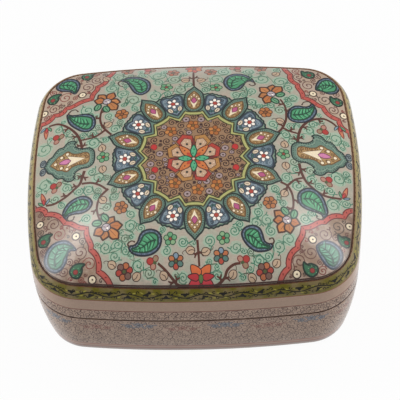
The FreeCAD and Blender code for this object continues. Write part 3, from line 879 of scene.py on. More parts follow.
corner_leaves = {
    (-1, -1): ([(-61.2, -52.0), (-64.6, -49.8), (-66.0, -46.1), (-65.0, -41.6), (-62.6, -38.8), (-59.6, -37.7), (-56.4, -38.0),
                (-54.0, -39.9), (-51.8, -43.0), (-54.0, -42.8), (-55.7, -44.2), (-56.2, -47.8), (-58.4, -51.0)],
               [(-61.0, -49.4), (-61.3, -44.8), (-58.8, -41.3), (-54.4, -41.2)]),
    (1, -1): ([(54.0, -43.2), (57.6, -40.6), (61.4, -41.0), (64.6, -43.8), (65.2, -47.4), (63.8, -50.8), (60.8, -53.2),
               (58.3, -52.0), (56.0, -49.2), (54.4, -46.2)],
              [(61.0, -51.0), (60.6, -48.0), (58.4, -45.0), (55.4, -43.6)]),
    (-1, 1): ([(-63.8, 51.4), (-61.4, 54.2), (-57.3, 55.0), (-54.0, 53.0), (-52.8, 49.4), (-53.4, 46.2), (-54.8, 43.8),
               (-57.4, 46.0), (-61.0, 47.2), (-63.4, 48.8)],
              [(-61.6, 51.2), (-58.2, 50.8), (-55.6, 48.6), (-54.8, 45.4)]),
    (1, 1): ([(67.8, 46.2), (66.4, 49.8), (62.8, 52.0), (59.4, 50.6), (57.4, 47.4), (56.8, 43.0), (59.6, 42.6), (62.8, 41.4),
              (66.2, 42.8)],
             [(65.6, 46.6), (62.6, 47.2), (59.8, 46.4), (57.6, 43.8)]),
}
corner_greens = {
    (-1, -1): [(-51.8, -52.6, 2.7), (-66.6, -36.2, 2.7)],
    (1, -1): [(51.4, -54.2, 2.7), (67.0, -39.8, 2.6)],
    (-1, 1): [(-65.1, 42.3, 2.6), (-49.6, 55.6, 2.5)],
    (1, 1): [(66.4, 37.0, 2.4), (53.8, 53.2, 2.5)],
}


def lobed(points, bulge):
    """A line of shallow arcs between cusps, bulging towards the field and drawn out to a peak at its fifth point."""
    out = []
    for k, (a, b) in enumerate(zip(points, points[1:])):
        a, b = np.array(a), np.array(b)
        way = b - a
        side = np.array((-way[1], way[0])) / np.hypot(*way)
        if np.dot(side, -(a + b) / 2) < 0:
            side = -side
        for j in range(6):
            t = j / 6
            rise = 4 * t * (1 - t)
            if k == 3:
                rise = 0.32 * math.sin(2 * math.pi * t ** 0.8)
            elif k == 4:
                rise = -0.32 * math.sin(2 * math.pi * (1 - (1 - t) ** 0.8))
            out.append(tuple(a + way * t + side * bulge * rise))
    out.append(tuple(points[-1]))
    return out


def spandrel(art, sx, sy):
    line = lobed(corner_bands[(sx, sy)], 1.5)
    art.area(line + [(sx * 42, sy * 75), (sx * 90, sy * 75), (sx * 90, sy * 20)], SPANDREL if sy < 0 else SPANDREL_BACK, 1.0)
    rng = random.Random(300 + sx * 7 + sy * 3)
    dots, leaf, greens = corner_dots[(sx, sy)], corner_leaves[(sx, sy)], corner_greens[(sx, sy)]
    taken = [(x, y, 2.0) for x, y in dots] + [(x, y, r + 0.2) for x, y, r in greens]
    edge = np.array(smooth(leaf[0], closed=True, steps=3))
    for x, y in smooth(leaf[1], steps=3):
        taken.append((x, y, float(np.hypot(edge[:, 0] - x, edge[:, 1] - y).min()) + 0.2))
    band = np.array(line)
    placed = []
    for size in (3.2, 2.7, 2.2, 1.8, 1.45, 1.15, 0.9):
        for _ in range(900):
            x, y = sx * rng.uniform(36, 73), sy * rng.uniform(16, 61)
            if math.hypot(x, y) > float(skin_reach(x, y)) - size * 0.7 - 0.8:
                continue
            near = np.hypot(band[:, 0] - x, band[:, 1] - y)
            spot = band[int(near.argmin())]
            outside = (x - spot[0]) * sx + (y - spot[1]) * sy
            if near.min() < size + 1.0 or outside < 0:
                continue
            if all(math.hypot(x - a, y - b) > (size + c) * 0.95 for a, b, c in taken + placed):
                placed.append((x, y, size))
    for x, y, size in placed:
        colour = rng.choice((SPANDREL_LINE, SPANDREL_LINE, srgb(128, 62, 50), srgb(84, 66, 54)))
        scroll(art, x, y, size, rng.uniform(0, 6.28), 1.5 if size > 1.3 else 1.0, rng.random() < 0.5, colour, None,
               0.5, extra=size > 1.2)
    art.stroke(line, 2.8, srgb(96, 24, 20))
    art.stroke(line, 1.8, RED_BAND)
    for i in range(2, len(line) - 1, 2):
        a, b = line[i], line[i + 1]
        art.area(oval(a[0], a[1], 0.55, 0.3, math.atan2(b[1] - a[1], b[0] - a[0]) + 0.6, 6), RED_DARK)
    for x, y in dots:
        art.outlined(oval(x, y, 1.75, 1.75, 0, 12), CREAM, srgb(60, 34, 24), 0.6)
        art.area(oval(x + 0.1, y, 0.42, 0.42, 0, 7), srgb(60, 34, 24))
    for x, y, r in greens:
        t = place(x, y, 2.7 if sx > 0 else 0.95)
        crescent = smooth([(-r, 0), (-0.6 * r, -0.95 * r), (0.5 * r, -0.9 * r), (1.05 * r, -0.5 * r), (1.7 * r, -0.6 * r),
                           (1.3 * r, 0.35 * r), (0.5 * r, 0.95 * r), (-0.5 * r, 0.9 * r)], closed=True, steps=3)
        art.outlined([t(*p) for p in crescent], srgb(50, 104, 72), srgb(10, 36, 24), 0.8)
        rib = smooth([(-0.7 * r, -0.3 * r), (-0.1 * r, -0.72 * r), (0.7 * r, -0.45 * r), (1.4 * r, -0.4 * r)], steps=3)
        art.stroke([t(*p) for p in rib], 0.4, srgb(10, 36, 24))
        art.outlined([t(*p) for p in oval(-0.1 * r, 0, 0.42 * r, 0.42 * r, 0, 9)], srgb(150, 50, 44), srgb(80, 20, 18), 0.3)
        for w in range(0, 6):
            a = w * 1.05
            art.area([t(*p) for p in oval(-0.1 * r + 0.72 * r * math.cos(a), 0.7 * r * math.sin(a), 0.17, 0.17, 0, 5)],
                     srgb(160, 196, 152))
    if sy < 0:
        leaf_drop(art, leaf[0], leaf[1], None, srgb(104, 120, 140), srgb(40, 50, 66), srgb(78, 138, 108), srgb(14, 68, 52))
    else:
        leaf_drop(art, leaf[0], leaf[1], None)


leaf_drops = [
    ([(46.3, -21.0), (47.4, -17.8), (50.5, -15.6), (54.0, -15.8), (57.0, -18.4), (58.6, -22.0), (59.4, -26.4), (57.6, -29.3),
      (56.6, -27.8), (54.0, -27.0), (50.5, -26.3), (47.5, -24.5)],
     [(48.8, -21.2), (52.4, -20.9), (55.8, -23.2), (57.6, -27.0)], [(57.6, -29.3), (56.4, -30.4), (54.6, -30.0), (54.4, -28.9)]),
    ([(21.2, -39.5), (22.6, -36.8), (26.0, -35.6), (29.0, -36.8), (30.3, -39.5), (31.1, -42.4), (33.0, -43.6), (34.6, -43.6),
      (34.0, -45.4), (32.0, -46.5), (28.0, -46.9), (25.0, -45.6), (22.4, -42.8)],
     [(23.4, -39.8), (26.3, -40.8), (29.0, -43.4), (32.6, -45.0)], [(34.5, -43.8), (35.3, -42.4), (34.6, -41.0), (33.4, -41.4)]),
    ([(-44.8, -21.4), (-46.6, -18.4), (-50.1, -17.2), (-54.4, -18.6), (-57.2, -21.4), (-58.1, -24.8), (-56.4, -27.4),
      (-55.4, -25.9), (-52.8, -25.5), (-49.6, -25.7), (-46.4, -24.5)],
     [(-47.2, -21.6), (-50.6, -21.2), (-54.2, -22.2), (-56.7, -25.0)], [(-56.4, -27.2), (-55.2, -28.5), (-53.4, -28.2), (-52.9, -27.0)]),
    ([(-14.0, -41.1), (-15.2, -38.2), (-18.4, -36.7), (-21.6, -37.2), (-23.4, -39.0), (-24.4, -41.8), (-26.0, -43.3),
      (-28.3, -43.7), (-27.6, -45.8), (-25.1, -47.4), (-21.2, -47.9), (-17.6, -47.1), (-15.0, -44.8)],
     [(-16.4, -41.4), (-19.4, -42.2), (-22.4, -44.3), (-26.2, -45.2)], [(-28.2, -43.9), (-28.8, -42.4), (-27.3, -41.3), (-25.9, -41.7)]),
    ([(43.3, 23.6), (44.6, 21.4), (47.2, 20.6), (50.6, 21.2), (53.3, 23.1), (55.4, 25.8), (56.5, 29.4), (54.7, 33.4),
      (53.6, 31.8), (51.4, 30.7), (48.6, 30.8), (46.1, 30.1), (44.0, 27.4)],
     [(45.5, 24.8), (49.0, 25.6), (52.4, 27.4), (54.9, 31.0)], [(54.7, 33.2), (53.0, 34.4), (50.8, 33.6), (50.0, 32.0)]),
    ([(17.8, 39.2), (15.4, 41.6), (14.3, 45.3), (15.4, 49.6), (18.9, 52.6), (23.3, 52.2), (26.7, 49.6), (28.2, 46.0),
      (26.8, 46.6), (25.2, 46.4), (24.0, 45.0), (23.3, 43.0), (21.2, 40.0)],
     [(18.0, 41.8), (18.2, 45.8), (21.0, 48.8), (26.2, 48.0)], [(28.1, 46.0), (28.8, 44.2), (27.4, 43.0), (26.2, 43.9)]),
    ([(-44.6, 24.2), (-44.8, 20.6), (-47.3, 18.3), (-50.4, 18.9), (-52.9, 20.9), (-55.4, 23.4), (-57.2, 26.6), (-57.9, 31.0),
      (-55.8, 29.8), (-52.6, 29.3), (-49.0, 29.1), (-46.0, 27.4)],
     [(-47.2, 22.6), (-50.4, 23.4), (-53.8, 25.6), (-56.6, 29.2)], [(-57.6, 31.0), (-56.0, 32.9), (-54.0, 33.0), (-52.9, 31.7)]),
    ([(-23.2, 38.1), (-20.6, 40.2), (-19.6, 43.7), (-20.2, 47.4), (-22.3, 50.3), (-25.0, 52.0), (-27.9, 52.7), (-31.2, 52.0),
      (-33.5, 50.1), (-31.8, 49.2), (-30.1, 47.4), (-28.9, 44.4), (-27.4, 41.0), (-25.6, 38.8)],
     [(-23.4, 40.8), (-24.0, 45.0), (-26.6, 48.6), (-31.2, 50.2)], [(-33.4, 50.2), (-34.7, 48.4), (-34.0, 46.2), (-32.6, 45.4)]),
]
big_flowers = [
    (41.2, -32.4, [(35.7, -28.4), (35.2, -33.0), (37.4, -38.5), (42.6, -38.6), (47.0, -33.8)], [(40.5, -28.2), (44.4, -29.3)]),
    (-38.4, -34.2, [(-34.9, -29.5), (-31.2, -33.8), (-32.9, -39.8), (-39.8, -40.0), (-43.9, -37.2)], [(-39.0, -29.6), (-42.5, -31.8)]),
    (36.0, 37.4, [(36.9, 44.2), (41.0, 43.0), (30.8, 41.8), (30.2, 35.0), (33.0, 30.8)], [(40.2, 37.4), (37.6, 33.0)]),
    (-39.4, 35.4, [(-43.6, 40.6), (-36.4, 41.2), (-33.2, 34.0), (-34.6, 29.2), (-45.4, 37.0)], [(-39.6, 30.4), (-43.6, 32.2)]),
]
small_oranges = [(33.9, -24.5), (-31.9, -25.4), (33.1, 25.1), (-32.3, 25.9)]
small_greens = [(13.2, -41.3), (-10.1, -41.2), (10.7, 41.4), (-12.1, 42.6), (40.7, 1.5), (-40.2, 2.0)]
patchworks = [(12.0, -48.8), (-7.8, -50.6)]
red_flowers = [(31.0, -55.0), (-30.5, -53.9)]
pale_flowers = [(-9.3, 54.8), (8.2, 54.9), (-30.6, 58.6), (31.6, 58.2)]
bud_places = [(36.2, -51.7, 0.8), (17.0, -56.2, 0.9), (25.3, -57.5, 2.4), (41.5, -4.9, -1.57), (40.4, -19.4, -2.2),
              (5.4, -47.0, 0.2), (-40.0, -20.8, -0.9), (-40.4, -4.7, -1.57), (-35.9, -50.8, 2.4), (-25.1, -56.1, 0.7),
              (-13.2, -56.1, 2.2), (-1.4, -46.4, 3.1), (39.6, 20.4, 2.6), (41.3, 6.9, 1.57), (38.6, 53.1, 0.6),
              (3.9, 47.4, 0.2), (-38.4, 20.4, 0.5), (-40.9, 7.2, 1.57), (-3.4, 47.6, 3.0), (-40.4, 52.6, 2.2)]
trefoils = [(21.6, -51.2, 0.7), (-17.4, -50.8, 2.8), (59.6, -10.4, 0.9), (-61.6, -9.6, 2.5), (58.6, 18.4, -0.6),
            (-61.4, 17.4, 2.4), (-20.2, 57.2, 2.2), (19.7, 57.2, 0.9)]
tulips = [(66.4, -17.6, 1.1), (-66.9, -17.4, 1.7), (66.6, 22.6, -1.4), (-67.4, 26.2, -1.7)]
stems = {
    "right upper": [(37.2, 12.6), (40.0, 15.3), (42.2, 20.9), (42.5, 26.4), (41.9, 30.3), (40.0, 34.2)],
    "right lower": [(38.9, -13.7), (42.0, -15.5), (44.0, -20.0), (44.2, -25.6), (42.6, -29.6)],
    "left upper": [(-36.8, 14.2), (-40.4, 18.7), (-42.1, 23.1), (-42.1, 27.6), (-41.2, 31.6)],
    "left lower": [(-37.6, -15.3), (-41.2, -18.9), (-42.6, -23.3), (-42.3, -27.2), (-41.0, -31.0)],
    "right upper link": [(40.6, 16.4), (43.9, 14.8), (47.9, 13.9)],
    "right lower link": [(42.0, -15.2), (45.5, -11.8), (49.5, -10.2)],
    "left upper link": [(-40.0, 17.2), (-44.6, 14.2), (-50.9, 13.7)],
    "left lower link": [(-49.8, -10.6), (-45.1, -11.1), (-41.2, -13.1), (-38.4, -15.6)],
    "right upper sweep": [(47.2, 8.7), (47.8, 13.1), (49.4, 18.1), (53.3, 22.6), (58.9, 25.1), (63.3, 23.9), (66.1, 21.4)],
    "right lower sweep": [(47.5, -3.0), (48.5, -8.0), (51.0, -13.0), (56.0, -17.0), (60.0, -18.3), (66.0, -18.0)],
    "left upper sweep": [(-50.1, 8.1), (-50.9, 12.6), (-52.9, 17.6), (-56.8, 22.6), (-61.8, 26.4), (-66.4, 26.6)],
    "left lower sweep": [(-48.7, -3.9), (-49.8, -7.8), (-50.7, -10.6), (-53.4, -13.1), (-57.3, -16.1), (-62.3, -18.1), (-66.2, -17.8)],
    "front middle": [(1.7, -42.0), (2.1, -47.2), (2.4, -53.0)],
    "back middle": [(0.5, 42.8), (0.3, 49.0), (0.2, 54.6)],
    "front right sweep": [(7.0, -60.4), (10.0, -60.2), (13.2, -57.6), (14.6, -54.5), (17.5, -52.3), (20.4, -51.8)],
    "front left sweep": [(-2.3, -60.3), (-6.8, -60.0), (-9.6, -57.2), (-12.6, -53.9), (-15.7, -51.2)],
}
thorns = {
    "right upper": [(0.3, 1), (0.62, -1), (0.84, 1)], "right lower": [(0.28, -1), (0.6, 1), (0.84, -1)],
    "left upper": [(0.3, -1), (0.62, 1), (0.84, -1)], "left lower": [(0.3, 1), (0.62, -1), (0.84, 1)],
    "right upper link": [(0.5, 1)], "right lower link": [(0.5, -1)], "left upper link": [(0.5, -1)],
    "left lower link": [(0.5, 1)], "right upper sweep": [(0.08, 1), (0.12, -1), (0.34, -1), (0.62, -1)],
    "right lower sweep": [(0.12, 1), (0.16, -1), (0.42, 1), (0.7, 1)],
    "left upper sweep": [(0.08, -1), (0.12, 1), (0.36, 1), (0.62, 1)],
    "left lower sweep": [(0.1, -1), (0.14, 1), (0.4, -1), (0.66, -1)],
    "front middle": [(0.5, 1), (0.5, -1)], "back middle": [(0.5, 1), (0.5, -1)],
    "front right sweep": [(0.42, -1), (0.35, 1)], "front left sweep": [(0.42, 1), (0.35, -1)],
}
known_curls = [
    (28.5, -29.5, 2.2), (32.5, -33.0, 2.6), (18.0, -38.2, 2.2), (18.6, -45.4, 2.6), (7.0, -42.5, 2.5), (37.4, -44.6, 2.7),
    (42.0, -42.6, 2.4), (28.5, -50.5, 2.6), (-45.4, -5.3, 2.0), (-56.8, -11.4, 2.4), (-46.5, -14.7, 2.6), (-47.3, -28.9, 2.2),
    (-27.3, -28.9, 2.0), (-27.6, -34.6, 2.9), (-38.7, -43.4, 2.8), (-30.0, -40.2, 2.0), (-34.6, -47.4, 2.3), (-27.9, -50.0, 2.2),
    (-19.6, -55.0, 2.4), (-4.6, -42.8, 2.2), (-11.9, -46.3, 2.0), (-6.2, -55.0, 2.2), (46.2, 35.4, 2.3), (26.8, 31.4, 2.5),
    (26.9, 39.0, 2.3), (19.7, 36.0, 2.3), (35.0, 18.1, 2.5), (44.4, 17.6, 2.1), (52.6, 16.6, 2.4), (46.0, -6.4, 2.0),
]


def crown_art():
    s = np.linspace(0, perimeter, 420, endpoint=False)
    x, y = on_outline(s, crown_skin_inset)
    art = Painting(list(zip(x, y)), GROUND, 1.0)
    rng = random.Random(8)
    taken = [(0.7, 0.0, 37.6)]
    for k in range(10):
        taken.append((*on_medallion(38.6, 18 + 36 * k), 2.9))
        taken.append((*on_medallion(41.0, 18 + 36 * k), 1.2))
    for outline, spine, hook in leaf_drops:
        edge = np.array(smooth(outline, closed=True, steps=3))
        for px, py in smooth(spine, steps=3):
            taken.append((px, py, float(np.hypot(edge[:, 0] - px, edge[:, 1] - py).min()) + 0.2))
        taken += [(px, py, 0.5) for px, py in smooth(hook, steps=2)]
    for px, py, tips, leaves in big_flowers:
        taken.append((px, py, 3.4))
        taken += [((2 * a + px) / 3, (2 * b + py) / 3, 1.9) for a, b in tips]
        taken += [(a, b, 1.9) for a, b in leaves]
    taken += [(a, b, 3.2) for a, b in small_oranges + small_greens + pale_flowers]
    taken += [(a, b, 3.6) for a, b in patchworks + red_flowers]
    taken += [(a, b, 2.1) for a, b, _ in bud_places] + [(a, b, 2.9) for a, b, _ in trefoils]
    taken += [(a + 2.6 * math.cos(w), b + 2.6 * math.sin(w), 2.9) for a, b, w in tulips]
    taken += [(3.2, -57.2, 5.0), (0.4, 58.4, 4.2)]
    for sx in (-1, 1):
        for u, v, r in ((46.4, 3.4, 3.4), (50, 3.4, 5.0), (54, 3.4, 7.4), (58.6, 3.4, 8.4), (63, 3.4, 6.6), (67.4, 3.4, 4.2),
                        (71.0, 3.4, 3.4)):
            taken.append((sx * u, v, r))
    for name, pts in stems.items():
        taken += [(a, b, 0.35) for a, b in smooth(pts, steps=3)]
    bands = np.array([p for pts in corner_bands.values() for p in lobed(pts, 1.5)])
    circles = np.array(taken)
    placed = []
    for size in (0.0, 3.6, 3.2, 2.8, 2.4, 2.05, 1.75, 1.45, 1.2):
        tries = known_curls if size == 0.0 else [(rng.uniform(-72, 72), rng.uniform(-61, 61), size) for _ in range(3000 if size > 1.5 else 1500)]
        for px, py, r in tries:
            if math.hypot(px, py) > float(skin_reach(px, py)) - r * 0.9 - 0.6:
                continue
            near = np.hypot(bands[:, 0] - px, bands[:, 1] - py)
            spot = bands[int(near.argmin())]
            if near.min() < r + 1.3:
                continue
            if (px - spot[0]) * np.sign(spot[0]) + (py - spot[1]) * np.sign(spot[1]) > 0 and near.min() < 25:
                continue
            room = np.hypot(circles[:, 0] - px, circles[:, 1] - py) - circles[:, 2]
            if room.min() < r * (0.5 if size == 0.0 else 0.86):
                continue
            placed.append((px, py, r, rng.uniform(0, 6.28), rng.uniform(1.3, 1.75) if r > 1.4 else 1.05, rng.random() < 0.5))
            circles = np.vstack([circles, (px, py, r * 0.97)])
    print("curls on the crown", len(placed))
    for px, py, r, start, turns, flip in placed:
        pts = [(a + rng.uniform(-0.15, 0.15), b + rng.uniform(-0.15, 0.15)) for a, b in oval(px, py, r + 0.5, r + 0.5, start, 9)]
        art.area(pts, HALO, 0.35)
    links = np.array([(a, b, c) for a, b, c, *_ in placed])
    for k, (px, py, r, *_) in enumerate(placed):
        gap = np.hypot(links[:, 0] - px, links[:, 1] - py) - links[:, 2] - r
        gap[k] = 99.0
        for j in np.argsort(gap)[:2]:
            if gap[j] > 2.2 or r + links[j, 2] < 2.6:
                continue
            away = math.atan2(links[j, 1] - py, links[j, 0] - px)
            bend = rng.choice((-1.1, 1.1))
            ends = [(px + r * math.cos(away + bend), py + r * math.sin(away + bend)),
                    ((px * 1.1 + links[j, 0] * 0.9) / 2, (py * 1.1 + links[j, 1] * 0.9) / 2),
                    (links[j, 0] + links[j, 2] * math.cos(away + math.pi + bend),
                     links[j, 1] + links[j, 2] * math.sin(away + math.pi + bend))]
            art.stroke(smooth(ends, steps=3), 0.34, rng.choice((VINE_GREEN, srgb(84, 104, 80))), ends=(1.0, 0.8))
    for px, py, r, start, turns, flip in placed:
        colour = rng.choice((VINE_GREEN, VINE_GREEN, srgb(64, 116, 92), srgb(78, 122, 98), srgb(84, 100, 78)))
        scroll(art, px, py, r, start, turns, flip, colour, None, 0.42, extra=r > 1.3)
    for sx in (-1, 1):
        for sy in (-1, 1):
            spandrel(art, sx, sy)
    for name, pts in stems.items():
        stem(art, pts, 1.35 if "sweep" in name else 1.15, thorns.get(name, ()))
    medallion(art)
    for sx in (-1, 1):
        side_cartouche(art, sx)
    for outline, spine, hook in leaf_drops:
        leaf_drop(art, outline, spine, hook)
    for px, py, tips, leaves in big_flowers:
        big_flower(art, px, py, tips, leaves)
    for px, py in small_oranges:
        small_flower(art, px, py, 1.02, [ORANGE, srgb(176, 106, 54)], ORANGE_DARK, srgb(140, 84, 40))
    for k, (px, py) in enumerate(small_greens):
        small_flower(art, px, py, 0.95, [srgb(104, 158, 114), srgb(136, 170, 126)], srgb(20, 74, 46), srgb(150, 60, 46),
                     count=5, start=0.6 + k)
    for px, py, turn in bud_places:
        bud(art, px, py, turn, 1.0)
    for px, py in patchworks:
        petals(art, place(px, py, 0.0, 1.0), 6, 0.8, 3.5, 2.4, [srgb(182, 104, 62), PETAL_BLUE, srgb(186, 112, 66),
               srgb(84, 118, 108), srgb(176, 70, 50), srgb(84, 118, 108)], srgb(46, 40, 34), 0.46, start=0.52, core=0.8,
               core_colour=srgb(80, 84, 44))
    for px, py, turn in trefoils:
        trefoil(art, px, py, turn, 1.0)
    for px, py in red_flowers:
        petals(art, place(px, py, 0.0, 1.0), 6, 1.0, 3.8, 2.8, [srgb(168, 58, 44), srgb(178, 100, 58), srgb(118, 84, 72)],
               srgb(66, 24, 18), 0.48, start=0.2, core=0.95, core_colour=srgb(74, 84, 40))
    for px, py in pale_flowers:
        petals(art, place(px, py, 0.0, 1.0), 6, 0.8, 3.0, 2.2, [srgb(176, 96, 62), srgb(160, 112, 86)],
               srgb(90, 48, 34), 0.38, start=0.2, core=0.7, core_colour=srgb(96, 90, 50))
    t = place(3.0, -57.4, -math.pi / 2, 1.28)
    for w, reach, wide, colour in ((0.0, 4.4, 2.6, srgb(176, 34, 40)), (0.95, 5.6, 3.0, srgb(206, 50, 62)),
                                   (-0.95, 5.6, 3.0, srgb(206, 50, 62)), (2.45, 5.2, 3.2, srgb(212, 104, 52)),
                                   (-2.45, 5.2, 3.2, srgb(212, 104, 52)), (1.7, 4.6, 2.2, srgb(186, 40, 48)),
                                   (-1.7, 4.6, 2.2, srgb(186, 40, 48))):
        c, s = math.cos(w), math.sin(w)
        leaf = smooth([(0.6, 0), (0.3 * reach, -0.5 * wide), (0.7 * reach, -0.4 * wide), (reach, 0),
                       (0.7 * reach, 0.4 * wide), (0.3 * reach, 0.5 * wide)], closed=True, steps=3)
        art.outlined([t(c * u - s * v, s * u + c * v) for u, v in leaf], colour, srgb(66, 20, 16), 0.42)
    art.outlined([t(*p) for p in oval(0.2, 0, 1.4, 0.8, 0, 9)], srgb(90, 120, 60), srgb(40, 40, 20), 0.3)
    petals(art, place(0.4, 58.4, 0.4, 1.0), 7, 0.8, 4.2, 2.4, [srgb(204, 110, 60), srgb(184, 70, 56)], srgb(90, 40, 26),
           0.4, pointed=True, core=0.8, core_colour=srgb(110, 96, 50))
    for px, py, turn in tulips:
        side_tulip(art, px, py, turn, 0.9)
    # The thin line round the crown's edge is a painted line, drawn wider and darker towards the front as painted shade
    # where the edge turns away from the light.
    count = 380
    for k in range(count):
        a, b = perimeter * k / count, perimeter * (k + 1) / count
        front = min(1.0, 1.25 * (0.5 - 0.5 * math.cos(2 * math.pi * a / perimeter)) ** 3)
        wide = 0.2 + 0.36 * front
        corner = [on_outline(s, inset) for s, inset in ((a, 4.04), (b, 4.04), (b, 4.04 + wide), (a, 4.04 + wide))]
        edge_colour = tuple(u + (v - u) * front for u, v in zip(srgb(150, 112, 86), srgb(72, 34, 24)))
        art.area([(float(x), float(y)) for x, y in corner], edge_colour)
    return art


def crown_outer(x, y):
    left = skin_reach(x, y) - np.hypot(x, y)
    edge = np.clip(left, 0.0, 0.45)
    drop = 0.45 - np.sqrt(np.clip(0.45 ** 2 - (0.45 - edge) ** 2, 0, None))
    return np.stack([x, y, crown_height(x, y) - drop], axis=1)


def crown_front_painted_shade(spots):
    """Painted shade: the colour darkens along the front edge of the crown and fades over a few millimetres inwards."""
    x, y = spots[:, 0], spots[:, 1]
    gap = np.clip(skin_reach(x, y) - np.hypot(x, y), 0.0, None)
    return 1.0 - 0.46 * np.clip((8.0 - y) / 50.0, 0.0, 1.0) * np.exp(-gap / 2.8)


def crown_back(x, y):
    return np.stack([x, y, crown_height(x, y) - paint_thickness + 0.04], axis=1)


def crown_uv(flat):
    return np.stack([0.5 + flat[:, 0] / 156.0, 0.5 + flat[:, 1] / 156.0], axis=1)


# ---------------------------------------------------------------- sides
def profile_table(points):
    p = np.array(points)
    run = np.concatenate([[0], np.cumsum(np.hypot(*(np.diff(p, axis=0).T)))])
    return run, p


def strip_rows(run_length, width=1.0):
    rows = 5
    section = perimeter / rows

    def uv(flat):
        middle = flat[:, 0].mean()
        row = min(rows - 1, int(middle / section))
        u = (flat[:, 0] - row * section) / section * 0.96 + 0.02
        v = (row + 0.06 + 0.88 * flat[:, 1] / run_length) / rows
        return np.stack([u, v], axis=1)
    return uv


def strip_boundary(run_length, step=2.4):
    count = int(perimeter / step)
    up = max(2, int(run_length / 2.0))
    low = [(perimeter * k / count, 0.0) for k in range(count)]
    right = [(perimeter, run_length * k / up) for k in range(up)]
    top = [(perimeter * (count - k) / count, run_length) for k in range(count)]
    left = [(0.0, run_length * (up - k) / up) for k in range(up)]
    return low + right + top + left


def strip_maps(profile, thickness):
    run, p = profile_table(profile)

    def outer(s, v):
        inset = np.interp(v, run, p[:, 0])
        z = np.interp(v, run, p[:, 1])
        x, y = on_outline(s, inset)
        return np.stack([x, y, z], axis=1)

    def inner(s, v):
        inset = np.interp(v, run, p[:, 0])
        z = np.interp(v, run, p[:, 1])
        low, high = p[0, 1], p[-1, 1]
        z = np.clip(z, low, high)
        x, y = on_outline(s, inset + thickness)
        return np.stack([x, y, z], axis=1)
    return run[-1], outer, inner


def fine_scroll(art, low, high, spacing, seed, line=SIDE_LINE, avoid=()):
    rng = random.Random(seed)
    rows = max(1, int(round((high - low) / (spacing * 0.9))))
    for r in range(rows):
        v = low + (high - low) * (r + 0.5) / rows
        count = int(perimeter / spacing)
        for k in range(count):
            s = (k + (0.5 if r % 2 else 0.0) + rng.uniform(-0.22, 0.22)) * spacing + 0.8
            w = v + rng.uniform(-0.25, 0.25)
            if any(abs(s - a) < c and abs(w - b) < c for a, b, c in avoid):
                continue
            size = spacing * rng.uniform(0.42, 0.6)
            size = min(size, w - low + spacing * 0.3, high - w + spacing * 0.3)
            s = min(max(s, size * 1.75 + 0.3), perimeter - size * 1.75 - 0.3)
            if size < 0.5:
                continue
            t = place(s, w, rng.uniform(0, 6.28), 1.0, rng.random() < 0.5)
            pts = curl(size, rng.uniform(0.9, 1.25), 0.0, 0.25, 7)
            pts.append((pts[-1][0] + 0.1, pts[-1][1] + size * 0.7))
            art.stroke([t(*p) for p in pts], 0.38, line, ends=(0.8, 1.1))
    for s in (1.15, perimeter - 1.15):
        for v in np.arange(low + 0.9, high - 0.7, 1.5):
            t = place(s, v, rng.uniform(0, 6.28), 1.0, rng.random() < 0.5)
            pts = curl(0.5, 0.9, 0.0, 0.25, 6)
            art.stroke([t(*p) for p in pts], 0.36, line, ends=(0.8, 1.1))


def rim_profile():
    pts = [(float(belly_inset(34.68)) + 0.32, 34.68), (float(belly_inset(34.74)) + 0.1, 34.75),
           (float(belly_inset(34.98)), 34.98)]
    for z in np.linspace(36.0, shoulder_height, 16):
        pts.append((float(belly_inset(z)), float(z)))
    for z in np.linspace(shoulder_height, crown_edge_height, 13)[1:]:
        pts.append((float(shoulder_inset(z)), float(z)))
    pts += [(3.24, 56.62), (3.5, 56.6), (3.66, 56.45), (3.7, 56.2), (3.7, 55.9)]
    return pts


def body_profile():
    pts = [(float(belly_inset(0.8)) + 0.45, 0.82), (float(belly_inset(1.0)) + 0.12, 0.92), (float(belly_inset(1.3)), 1.3)]
    for z in np.linspace(2.4, 33.9, 30):
        pts.append((float(belly_inset(z)), float(z)))
    pts += [(float(belly_inset(34.2)) + 0.05, 34.2), (float(belly_inset(34.3)) + 0.3, 34.32)]
    return pts


def run_at(profile, z):
    run, p = profile_table(profile)
    top = int(np.argmax(p[:, 1]))
    return float(np.interp(z, p[:top + 1, 1], run[:top + 1]))


def band(art, low, high, colour, wash=0.0):
    count = 200
    bottom = [(perimeter * k / count, low) for k in range(count + 1)]
    top = [(perimeter * (count - k) / count, high) for k in range(count + 1)]
    art.area(bottom + top, colour, wash)


def flower_cluster(art, s, v, colour, line, size=1.0, seed=0):
    rng = random.Random(seed)
    for du, dv, r in ((0, 0.4, 1.0), (-4.6, -0.6, 0.8), (4.7, -0.4, 0.8)):
        petals(art, place(s + du, v + dv, 0, r * size), 5, 0.5, 2.3, 1.7, [colour], line, 0.34,
               start=rng.uniform(0, 1), core=0.5, core_colour=line)
    for du, dv, turn in ((-2.3, 1.6, 2.4), (2.4, 1.7, 0.7), (-2.2, -2.0, -2.4), (2.3, -1.9, -0.7), (-7.0, 0.6, 3.0),
                         (7.1, 0.7, 0.1)):
        t = place(s + du, v + dv, turn, size)
        leaf = smooth([(-1.1, 0), (0, -0.5), (1.3, 0), (0, 0.5)], closed=True, steps=2)
        art.outlined([t(*p) for p in leaf], colour, line, 0.3)


